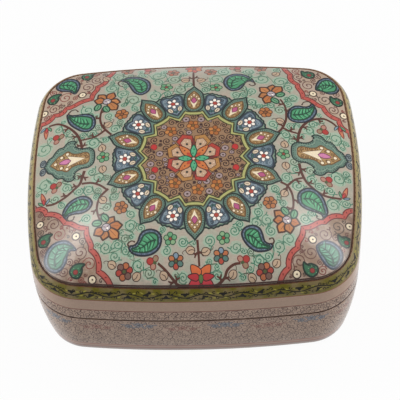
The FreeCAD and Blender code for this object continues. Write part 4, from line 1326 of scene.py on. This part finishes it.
def rim_art():
    profile = rim_profile()
    length = profile_table(profile)[0][-1]
    art = Painting(strip_boundary(length), SIDE_GROUND, 0.6)
    seam_line = run_at(profile, 34.98)
    widest = run_at(profile, widest_height)
    shoulder = run_at(profile, shoulder_height)
    edge = run_at(profile, crown_edge_height)
    fine_scroll(art, seam_line + 0.25, widest - 0.6, 2.9, 3)
    band(art, widest + 0.25, shoulder - 0.2, BEIGE_BAND, 0.3)
    band(art, widest - 0.35, widest + 0.3, RED_THIN)
    # The olive band's colour: darker at the front as painted shade and lighter on the sides as painted light.
    count = 200
    for k in range(count):
        a, b = perimeter * k / count, perimeter * (k + 1) / count
        front = min(1.0, 1.25 * (0.5 - 0.5 * math.cos(2 * math.pi * (a + b) / 2 / perimeter)) ** 2)
        art.area([(a, shoulder - 0.25), (b, shoulder - 0.25), (b, edge + 0.02), (a, edge + 0.02)],
                 tuple(u + (v - u) * front for u, v in zip(OLIVE_SIDE_PAINTED_LIGHT, OLIVE_FRONT_PAINTED_SHADE)), 0.5)
    band(art, shoulder - 0.35, shoulder + 0.15, srgb(120, 60, 40))
    band(art, shoulder + 0.15, shoulder + 0.42, OLIVE_LIGHT)
    # The lip above the crown's edge: darker towards the front as painted shade.
    count = 200
    for k in range(count):
        a, b = perimeter * k / count, perimeter * (k + 1) / count
        front = min(1.0, 1.25 * (0.5 - 0.5 * math.cos(2 * math.pi * (a + b) / 2 / perimeter)) ** 3)
        art.area([(a, edge + 0.02), (b, edge + 0.02), (b, length - 0.02), (a, length - 0.02)],
                 tuple(u + (v - u) * front for u, v in zip(srgb(146, 112, 86), srgb(92, 56, 36))))
    middle = (shoulder + edge) / 2
    count = int(round(perimeter / 8.4))
    pitch = perimeter / count
    rng = random.Random(4)
    wave = []
    steps = count * 12
    for k in range(steps + 1):
        s = perimeter * k / steps
        wave.append((s, middle + 0.95 * math.sin(2 * math.pi * (s / pitch) / 2.0)))
    wave = [p for p in wave if 0.3 < p[0] < perimeter - 0.3]
    art.stroke(wave, 0.55, OLIVE_DARK)
    for k in range(count):
        s = (k + 0.5) * pitch
        up = 1 if k % 2 == 0 else -1
        v = middle - 0.5 * up
        t = place(s, v, 0.0 if k % 3 else 0.5, 1.0, up < 0)
        art.area([t(-1.3, -0.9), t(1.2, -0.9), t(0.9, 0.2), t(0.0, 1.1), t(-0.9, 0.1)], srgb(20, 18, 12))
        art.area([t(*p) for p in oval(-1.3, -0.5, 0.6, 0.45, 0, 7)], srgb(20, 18, 12))
        art.area([t(*p) for p in oval(1.3, -0.5, 0.6, 0.45, 0, 7)], srgb(20, 18, 12))
        for j in range(4):
            du = (j + 0.7) * pitch / 5 - 0.1
            if not 1.0 < s + du < perimeter - 2.0:
                continue
            side = 1 if j % 2 else -1
            t2 = place(s + du, middle + side * rng.uniform(0.8, 1.5), rng.uniform(-0.5, 0.5))
            leaf = [(-1.0, 0), (-0.1, 0.34), (1.1, 0.1), (0.1, -0.34)]
            art.area([t2(*p) for p in leaf], rng.choice((OLIVE_DARK, OLIVE_DARK, srgb(152, 144, 60), srgb(132, 128, 50))))
            t3 = place(s + du, middle - side * rng.uniform(1.0, 1.7), rng.uniform(0, 6.28), 1.0, side > 0)
            art.stroke([t3(*p) for p in curl(0.85, 0.8, 0.0, 0.3, 7)], 0.4, OLIVE_DARK)
    return art, profile


cluster_shift = 0.333


def body_art():
    profile = body_profile()
    length = profile_table(profile)[0][-1]
    art = Painting(strip_boundary(length), SIDE_GROUND, 0.8)
    top = run_at(profile, 33.9)
    line_low, line_high = run_at(profile, 5.2), run_at(profile, 7.4)
    clusters = []
    count = 13
    for k in range(count):
        s = min(perimeter * (k + 0.5 + cluster_shift) / count, perimeter - 9.5)
        clusters.append((s, run_at(profile, 29.6), k))
    reds = [(perimeter * (k + 1.0 + cluster_shift) / count, run_at(profile, 27.0), k) for k in range(count - 1)]
    avoid = []
    for s, v, _ in clusters + reds:
        for du in (-6.4, -3.2, 0, 3.2, 6.4):
            avoid.append((s + du, v, 2.3 if abs(du) < 5 else 1.4))
    fine_scroll(art, line_high + 0.8, top - 0.1, 3.1, 9, avoid=avoid)
    for s, v, k in clusters:
        flower_cluster(art, s, v, srgb(126, 124, 126), srgb(76, 76, 86), 1.0, k)
    for s, v, k in reds:
        flower_cluster(art, s, v, srgb(158, 120, 104), srgb(104, 66, 54), 0.9, 50 + k)
    band(art, 0.02, line_low - 0.2, srgb(146, 120, 108), 0.3)
    band(art, line_low - 0.4, line_low + 0.4, PINK_LINE)
    band(art, line_low + 0.35, line_high - 0.3, srgb(166, 140, 122), 0.2)
    band(art, line_high - 0.4, line_high + 0.35, PINK_LINE)
    # The body's top edge at the seam: painted dark as painted shade in the gap under the lid.
    band(art, top + 0.02, length - 0.02, srgb(66, 44, 34))
    return art, profile


# ---------------------------------------------------------------- materials
def new_material(name):
    material = bpy.data.materials.new(name)
    material.use_nodes = True
    tree = material.node_tree
    tree.nodes.clear()
    out = tree.nodes.new("ShaderNodeOutputMaterial")
    shader = tree.nodes.new("ShaderNodeBsdfPrincipled")
    tree.links.new(shader.outputs["BSDF"], out.inputs["Surface"])
    return material, tree, shader


def node(tree, kind, **values):
    made = tree.nodes.new(kind)
    for key, value in values.items():
        if hasattr(made, key):
            setattr(made, key, value)
        else:
            made.inputs[key.replace("_", " ").title() if key not in made.inputs else key].default_value = value
    return made


def noise(tree, coords, scale, detail=3.0, rough=0.5):
    made = tree.nodes.new("ShaderNodeTexNoise")
    made.inputs["Scale"].default_value = scale
    made.inputs["Detail"].default_value = detail
    made.inputs["Roughness"].default_value = rough
    tree.links.new(coords, made.inputs["Vector"])
    return made


def math_node(tree, kind, a, b, clamp=False):
    made = tree.nodes.new("ShaderNodeMath")
    made.operation = kind
    made.use_clamp = clamp
    for socket, value in zip(made.inputs, (a, b)):
        if isinstance(value, (int, float)):
            socket.default_value = value
        else:
            tree.links.new(value, socket)
    return made.outputs[0]


def span(tree, value, low, high, to_low, to_high):
    made = tree.nodes.new("ShaderNodeMapRange")
    tree.links.new(value, made.inputs["Value"])
    for key, v in zip(("From Min", "From Max", "To Min", "To Max"), (low, high, to_low, to_high)):
        made.inputs[key].default_value = v
    return made.outputs["Result"]


def mix(tree, factor, a, b, kind="MIX"):
    made = tree.nodes.new("ShaderNodeMix")
    made.data_type = "RGBA"
    made.blend_type = kind
    for socket, value in zip((made.inputs[0], made.inputs[6], made.inputs[7]), (factor, a, b)):
        if isinstance(value, (int, float)):
            socket.default_value = value
        elif isinstance(value, tuple):
            socket.default_value = (*value[:3], 1.0)
        else:
            tree.links.new(value, socket)
    return made.outputs[2]


def bump(tree, height, strength, distance, under=None):
    made = tree.nodes.new("ShaderNodeBump")
    made.inputs["Strength"].default_value = strength
    made.inputs["Distance"].default_value = distance
    tree.links.new(height, made.inputs["Height"])
    if under is not None:
        tree.links.new(under, made.inputs["Normal"])
    return made.outputs["Normal"]


def lacquer(name, wash_colour, coat, shine):
    material, tree, shader = new_material(name)
    place_node = tree.nodes.new("ShaderNodeTexCoord")
    coords = place_node.outputs["Object"]
    paint = tree.nodes.new("ShaderNodeAttribute")
    paint.attribute_name = "paint"
    broad = noise(tree, coords, 210.0, 4.0, 0.55)
    fine = noise(tree, coords, 1500.0, 3.0, 0.6)
    grain = noise(tree, coords, 4200.0, 2.0, 0.5)
    patch = span(tree, broad.outputs["Fac"], 0.42, 0.62, 0.0, 0.75)
    washed = math_node(tree, "MULTIPLY", patch, paint.outputs["Alpha"])
    colour = mix(tree, washed, paint.outputs["Color"], wash_colour)
    tone = span(tree, fine.outputs["Fac"], 0.25, 0.75, 0.86, 1.13)
    scale = tree.nodes.new("ShaderNodeVectorMath")
    scale.operation = "SCALE"
    tree.links.new(colour, scale.inputs[0])
    tree.links.new(tone, scale.inputs["Scale"])
    tree.links.new(scale.outputs[0], shader.inputs["Base Color"])
    tree.links.new(span(tree, fine.outputs["Fac"], 0.3, 0.7, 0.42, 0.56), shader.inputs["Roughness"])
    normal = bump(tree, grain.outputs["Fac"], 0.12, 0.00006)
    normal = bump(tree, broad.outputs["Fac"], 0.10, 0.0004, normal)
    tree.links.new(normal, shader.inputs["Normal"])
    if coat < 1.0:
        grazing = tree.nodes.new("ShaderNodeLayerWeight")
        grazing.inputs["Blend"].default_value = 0.5
        tree.links.new(span(tree, grazing.outputs["Facing"], 0.62, 0.96, coat, 1.0), shader.inputs["Coat Weight"])
    else:
        shader.inputs["Coat Weight"].default_value = coat
    shader.inputs["Coat Roughness"].default_value = 0.24
    shader.inputs["Coat IOR"].default_value = 1.5
    shader.inputs["Specular IOR Level"].default_value = shine
    return material


crown_lacquer = lacquer("crown_lacquer_paint", srgb(184, 164, 148), 1.0, 0.3)
side_lacquer = lacquer("side_lacquer_paint", srgb(150, 126, 110), 0.15, 0.2)

crown = painted_shell("crown_painting", crown_art(), crown_outer, crown_back, crown_uv, 2.0, 4.0,
                      edge_colour=srgb(72, 42, 28), shade=crown_front_painted_shade)
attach(crown, "lid")
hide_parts("crown_paint_skin")
crown.data.materials.append(crown_lacquer)

art, profile = rim_art()
length, outer, inner = strip_maps(profile, 0.62)
rim = painted_shell("rim_painting", art, outer, inner, strip_rows(length), 1.6, 3.2, welded=True)
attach(rim, "lid")
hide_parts("rim_paint_skin")
rim.data.materials.append(side_lacquer)

art, profile = body_art()
length, outer, inner = strip_maps(profile, 0.62)
body = painted_shell("body_painting", art, outer, inner, strip_rows(length), 2.2, 4.0, welded=True)
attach(body, "box_body")
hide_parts("body_paint_skin")
body.data.materials.append(side_lacquer)

# ---------------------------------------------------------------- timber, metal and linings
def timber(name, axis, light, dark, rough=0.62, primed=None):
    """Wood with its grain along axis 0, 1 or 2; above a height it takes a dark primer colour, painted darker towards
    the front as painted shade.
    """
    material, tree, shader = new_material(name)
    coords = tree.nodes.new("ShaderNodeTexCoord").outputs["Object"]
    along = tree.nodes.new("ShaderNodeMapping")
    scale = [1.0, 1.0, 1.0]
    scale[axis] = 0.07
    along.inputs["Scale"].default_value = scale
    tree.links.new(coords, along.inputs["Vector"])
    sway = noise(tree, along.outputs[0], 70.0, 2.0, 0.5)
    growth = noise(tree, along.outputs[0], 420.0, 4.0, 0.62)
    pores = noise(tree, along.outputs[0], 3600.0, 2.0, 0.5)
    rings = tree.nodes.new("ShaderNodeTexWave")
    rings.wave_type = "BANDS"
    rings.bands_direction = "Z" if axis != 2 else "X"
    rings.inputs["Scale"].default_value = 95.0
    rings.inputs["Distortion"].default_value = 5.5
    rings.inputs["Detail"].default_value = 3.0
    rings.inputs["Detail Scale"].default_value = 1.6
    tree.links.new(along.outputs[0], rings.inputs["Vector"])
    blend_by = math_node(tree, "MULTIPLY", rings.outputs["Fac"], span(tree, growth.outputs["Fac"], 0.3, 0.7, 0.35, 1.0))
    colour = mix(tree, blend_by, light, dark)
    colour = mix(tree, span(tree, sway.outputs["Fac"], 0.35, 0.65, 0.0, 0.35), colour, tuple(v * 0.72 for v in dark))
    colour = mix(tree, span(tree, pores.outputs["Fac"], 0.58, 0.7, 0.0, 0.5), colour, tuple(v * 0.4 for v in dark))
    if primed:
        height = tree.nodes.new("ShaderNodeSeparateXYZ")
        tree.links.new(coords, height.inputs[0])
        # painted shade: the primer is darker towards the front and paler towards the back
        primer_with_painted_front_shade = mix(tree, span(tree, height.outputs["Y"], -0.055, 0.02, 0.0, 1.0), srgb(64, 36, 24), srgb(140, 108, 84))
        colour = mix(tree, span(tree, height.outputs["Z"], primed - 0.0002, primed + 0.0002, 0.0, 1.0), colour, primer_with_painted_front_shade)
    tree.links.new(colour, shader.inputs["Base Color"])
    tree.links.new(span(tree, growth.outputs["Fac"], 0.3, 0.7, rough - 0.08, rough + 0.1), shader.inputs["Roughness"])
    normal = bump(tree, pores.outputs["Fac"], 0.22, 0.00012)
    normal = bump(tree, growth.outputs["Fac"], 0.15, 0.0002, normal)
    tree.links.new(normal, shader.inputs["Normal"])
    return material


def cloth(name, deep, bright, nap, fibre, tint, sheen):
    """Velvet or felt: brushed patches, short fibres and a soft sheen."""
    material, tree, shader = new_material(name)
    coords = tree.nodes.new("ShaderNodeTexCoord").outputs["Object"]
    brushed = noise(tree, coords, 85.0, 3.0, 0.55)
    pile = noise(tree, coords, nap, 3.0, 0.65)
    hair = noise(tree, coords, fibre, 2.0, 0.6)
    colour = mix(tree, span(tree, brushed.outputs["Fac"], 0.36, 0.64, 0.3, 0.62), deep, bright)
    colour = mix(tree, span(tree, pile.outputs["Fac"], 0.35, 0.65, 0.0, 0.5), colour, tuple(v * 0.55 for v in deep))
    tree.links.new(colour, shader.inputs["Base Color"])
    tree.links.new(span(tree, pile.outputs["Fac"], 0.3, 0.7, 0.84, 0.97), shader.inputs["Roughness"])
    shader.inputs["Specular IOR Level"].default_value = 0.2
    shader.inputs["Sheen Weight"].default_value = sheen
    shader.inputs["Sheen Roughness"].default_value = 0.4
    shader.inputs["Sheen Tint"].default_value = (*tint, 1.0)
    normal = bump(tree, hair.outputs["Fac"], 0.5, 0.00022)
    normal = bump(tree, pile.outputs["Fac"], 0.35, 0.0004, normal)
    normal = bump(tree, brushed.outputs["Fac"], 0.3, 0.0008, normal)
    tree.links.new(normal, shader.inputs["Normal"])
    return material


def metal(name, colour):
    material, tree, shader = new_material(name)
    coords = tree.nodes.new("ShaderNodeTexCoord").outputs["Object"]
    wear = noise(tree, coords, 900.0, 3.0, 0.6)
    tree.links.new(mix(tree, span(tree, wear.outputs["Fac"], 0.35, 0.7, 0.0, 0.6), colour, srgb(112, 96, 84)),
                   shader.inputs["Base Color"])
    tree.links.new(span(tree, wear.outputs["Fac"], 0.3, 0.7, 0.28, 0.5), shader.inputs["Roughness"])
    tree.links.new(bump(tree, wear.outputs["Fac"], 0.15, 0.00005), shader.inputs["Normal"])
    shader.inputs["Metallic"].default_value = 1.0
    return material


def paper_board(name, colour):
    material, tree, shader = new_material(name)
    coords = tree.nodes.new("ShaderNodeTexCoord").outputs["Object"]
    pulp = noise(tree, coords, 700.0, 5.0, 0.7)
    fleck = noise(tree, coords, 2600.0, 2.0, 0.5)
    tone = mix(tree, span(tree, pulp.outputs["Fac"], 0.35, 0.65, 0.0, 0.5), colour, tuple(v * 0.72 for v in colour))
    tone = mix(tree, span(tree, fleck.outputs["Fac"], 0.66, 0.74, 0.0, 0.7), tone, srgb(112, 90, 64))
    tree.links.new(tone, shader.inputs["Base Color"])
    tree.links.new(bump(tree, pulp.outputs["Fac"], 0.2, 0.0001), shader.inputs["Normal"])
    shader.inputs["Roughness"].default_value = 0.85
    return material


def dress(material, *names):
    for name in names:
        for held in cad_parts[name].material_slots:
            held.link = "OBJECT"
            held.material = material


PALE, WARM = srgb(204, 168, 122), srgb(158, 114, 72)
dress(timber("timber_across", 0, PALE, WARM), "front_wall", "back_wall", "bottom_board", "lid_front_rail", "lid_back_rail")
# The crown panel's top edge takes the primer colour with its painted front shade.
dress(timber("crown_timber", 0, PALE, WARM, primed=0.0552), "crown_panel")
dress(timber("timber_deep", 1, PALE, WARM), "left_wall", "right_wall", "lid_left_rail", "lid_right_rail")
dress(timber("timber_upright", 2, srgb(198, 162, 118), WARM), "front_left_post", "front_right_post", "back_left_post",
      "back_right_post", "lid_front_left_block", "lid_front_right_block", "lid_back_left_block", "lid_back_right_block")
dress(timber("dowel_timber", 0, srgb(214, 182, 138), srgb(176, 132, 86), 0.5), "wall_dowels", "lid_dowels")
dress(timber("crown_dowel_timber", 2, srgb(214, 182, 138), srgb(176, 132, 86), 0.5), "crown_dowels")
dress(timber("collar_timber", 2, srgb(120, 82, 56), srgb(78, 48, 32), 0.45), "locating_collar")
dress(metal("pin_metal", srgb(176, 176, 172)), "bottom_pins")
dress(paper_board("card_board", srgb(190, 170, 134)), "floor_card")

lining_red = cloth("velvet_pile", srgb(96, 16, 22), srgb(142, 30, 36), 1300.0, 3800.0, (1.0, 0.62, 0.6), 0.55)
felt_green = cloth("felt_fibres", srgb(24, 62, 42), srgb(40, 88, 60), 900.0, 2600.0, (0.7, 1.0, 0.8), 0.25)


def rounded(half_x, half_y, radius, steps=10):
    out = []
    for k, (cx, cy) in enumerate(((1, 1), (-1, 1), (-1, -1), (1, -1))):
        for j in range(steps + 1):
            a = math.pi / 2 * (k + j / steps)
            out.append((cx * (half_x - radius) + radius * math.cos(a), cy * (half_y - radius) + radius * math.sin(a)))
    return out


def edge_gap(loop):
    points = np.array([tuple(a + (np.array(b) - a) * t) for a, b in zip(np.array(loop), loop[1:] + loop[:1])
                       for t in np.linspace(0, 1, 6, endpoint=False)])
    return lambda x, y: np.array([np.hypot(points[:, 0] - a, points[:, 1] - b).min() for a, b in zip(x, y)])


def rolled(gap, reach, depth):
    """How far a cut edge rolls down, by the distance from it."""
    near = np.clip(gap, 0, reach)
    return depth * (1 - np.sqrt(np.clip(1 - ((reach - near) / reach) ** 2, 0, 1)))


def lining(name, loop, top, bottom, spacing, material, body_name, replaced, slot_name, **facts):
    painting = Painting(loop, (0.3, 0.3, 0.3))
    plan = np.array(loop)
    low, size = plan.min(axis=0), plan.max(axis=0) - plan.min(axis=0)
    for grow in (0.995, 0.988, 0.975, 0.955):
        painting.area([(x * grow, y * grow) for x, y in loop], (0.3, 0.3, 0.3))
    piece = painted_shell(name, painting, top, bottom, lambda flat: (flat - low) / size * 0.96 + 0.02, spacing, spacing)
    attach(piece, body_name)
    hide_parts(replaced)
    piece.data.materials.append(material)
    abs(area_of(loop)) * MM * MM
    return piece


floor_loop = rounded(62.8, 51.3, 11.3)
floor_gap = edge_gap(floor_loop)
lining("floor_velvet_pile", floor_loop,
       lambda x, y: np.stack([x, y, 7.86 - rolled(floor_gap(x, y), 1.1, 0.7) + 0.09 * np.sin(x / 7.3 + 1.1 * np.sin(y / 9.1))
                              * np.cos(y / 6.7) * np.clip(floor_gap(x, y) / 6, 0, 1)], axis=1),
       lambda x, y: np.stack([x, y, 6.81 + 0.0 * x], axis=1),
       2.4, lining_red, "box_body", "floor_velvet", "red_velvet", held="laid", rests_on=["floor_card"])

roof_loop = rounded(65.3, 53.8, 13.8)
roof_gap = edge_gap(roof_loop)
lining("lid_velvet_pile", roof_loop,
       lambda x, y: np.stack([x, y, crown_height(x, y) - 6.24], axis=1),
       lambda x, y: np.stack([x, y, crown_height(x, y) - 7.06 + rolled(roof_gap(x, y), 1.0, 0.5)
                              - 0.05 * (1 + np.sin(x / 6.1) * np.sin(y / 7.7)) * np.clip(roof_gap(x, y) / 6, 0, 1)], axis=1),
       3.0, lining_red, "lid", "lid_velvet", "red_velvet", held="stretched", rests_on=["crown_panel"])

s = np.linspace(0, perimeter, 200, endpoint=False)
foot_loop = [(float(a), float(b)) for a, b in zip(*on_outline(s, base_inset + paint_thickness + 1.2))]
foot_gap = edge_gap(foot_loop)
lining("base_felt_sheet", foot_loop,
       lambda x, y: np.stack([x, y, 0.79 + 0.0 * x], axis=1),
       lambda x, y: np.stack([x, y, 0.0 + rolled(foot_gap(x, y), 0.7, 0.4)], axis=1),
       3.4, felt_green, "box_body", "base_felt", "green_felt", held="laid", rests_on=["bottom_board"])

# ---------------------------------------------------------------- floor, light and camera
bpy.ops.mesh.primitive_plane_add(size=6.0, location=(0, 0, 0))
floor = bpy.context.object
floor.name = "floor"
floor_material = bpy.data.materials.new("floor_white")
floor_material.use_nodes = True
tree = floor_material.node_tree
tree.nodes.clear()
out = tree.nodes.new("ShaderNodeOutputMaterial")
lit = tree.nodes.new("ShaderNodeBsdfDiffuse")
lit.inputs["Color"].default_value = (0.72, 0.72, 0.72, 1)
glow = tree.nodes.new("ShaderNodeEmission")
glow.inputs["Strength"].default_value = 1.0
path = tree.nodes.new("ShaderNodeLightPath")
seen = math_node(tree, "MAXIMUM", path.outputs["Is Camera Ray"], path.outputs["Is Glossy Ray"])
seen = math_node(tree, "MAXIMUM", seen, path.outputs["Is Transmission Ray"])
share = math_node(tree, "MULTIPLY", seen, 0.96)
blend = tree.nodes.new("ShaderNodeMixShader")
tree.links.new(share, blend.inputs[0])
tree.links.new(lit.outputs[0], blend.inputs[1])
tree.links.new(glow.outputs[0], blend.inputs[2])
tree.links.new(blend.outputs[0], out.inputs["Surface"])
floor.data.materials.append(floor_material)

world = bpy.data.worlds.new("studio")
scene.world = world
world.use_nodes = True
tree = world.node_tree
tree.nodes.clear()
out = tree.nodes.new("ShaderNodeOutputWorld")
room = tree.nodes.new("ShaderNodeBackground")
room.inputs["Color"].default_value = (0.98, 0.99, 1.0, 1)
path = tree.nodes.new("ShaderNodeLightPath")
tree.links.new(span(tree, path.outputs["Is Camera Ray"], 0.0, 1.0, 0.38, 1.0), room.inputs["Strength"])
tree.links.new(room.outputs[0], out.inputs["Surface"])


def softbox(name, place_at, size, power, aim=(0, 0, 0.04), colour=(1, 1, 1)):
    light = bpy.data.lights.new(name, "AREA")
    light.shape = "RECTANGLE"
    light.size, light.size_y = size
    light.energy = power
    light.color = colour
    obj = bpy.data.objects.new(name, light)
    scene.collection.objects.link(obj)
    obj.location = place_at
    way = Vector(aim) - Vector(place_at)
    obj.rotation_euler = way.to_track_quat("-Z", "Y").to_euler()
    return obj


for side in (-1, 1):
    name = "left" if side < 0 else "right"
    softbox(name + "_high_softbox", (side * 0.72, 0.31, 1.18), (0.36, 0.42), 3.9)
    softbox(name + "_low_softbox", (side * 1.30, -0.10, 0.42), (1.1, 0.72), 10.5)

elevation = math.radians(55.718)
azimuth = math.radians(2.697)
roll = math.radians(-3.56)
distance = 0.9395
target = Vector((0, 0, 0.035))
back = Vector((math.sin(azimuth) * math.cos(elevation), -math.cos(azimuth) * math.cos(elevation), math.sin(elevation)))
right = Vector((math.cos(azimuth), math.sin(azimuth), 0))
up = back.cross(right)
turned_right = right * math.cos(roll) + up * math.sin(roll)
turned_up = up * math.cos(roll) - right * math.sin(roll)
camera_data = bpy.data.cameras.new("camera")
camera = bpy.data.objects.new("camera", camera_data)
scene.collection.objects.link(camera)
camera.matrix_world = Matrix.Translation(target + back * distance) @ Matrix(
    (turned_right, turned_up, back)).transposed().to_4x4()
camera_data.sensor_width = 36
camera_data.lens = 183.24
camera_data.shift_x = 0.0114
camera_data.shift_y = 0.0008
camera_data.clip_start = 0.05
camera_data.clip_end = 20
scene.camera = camera
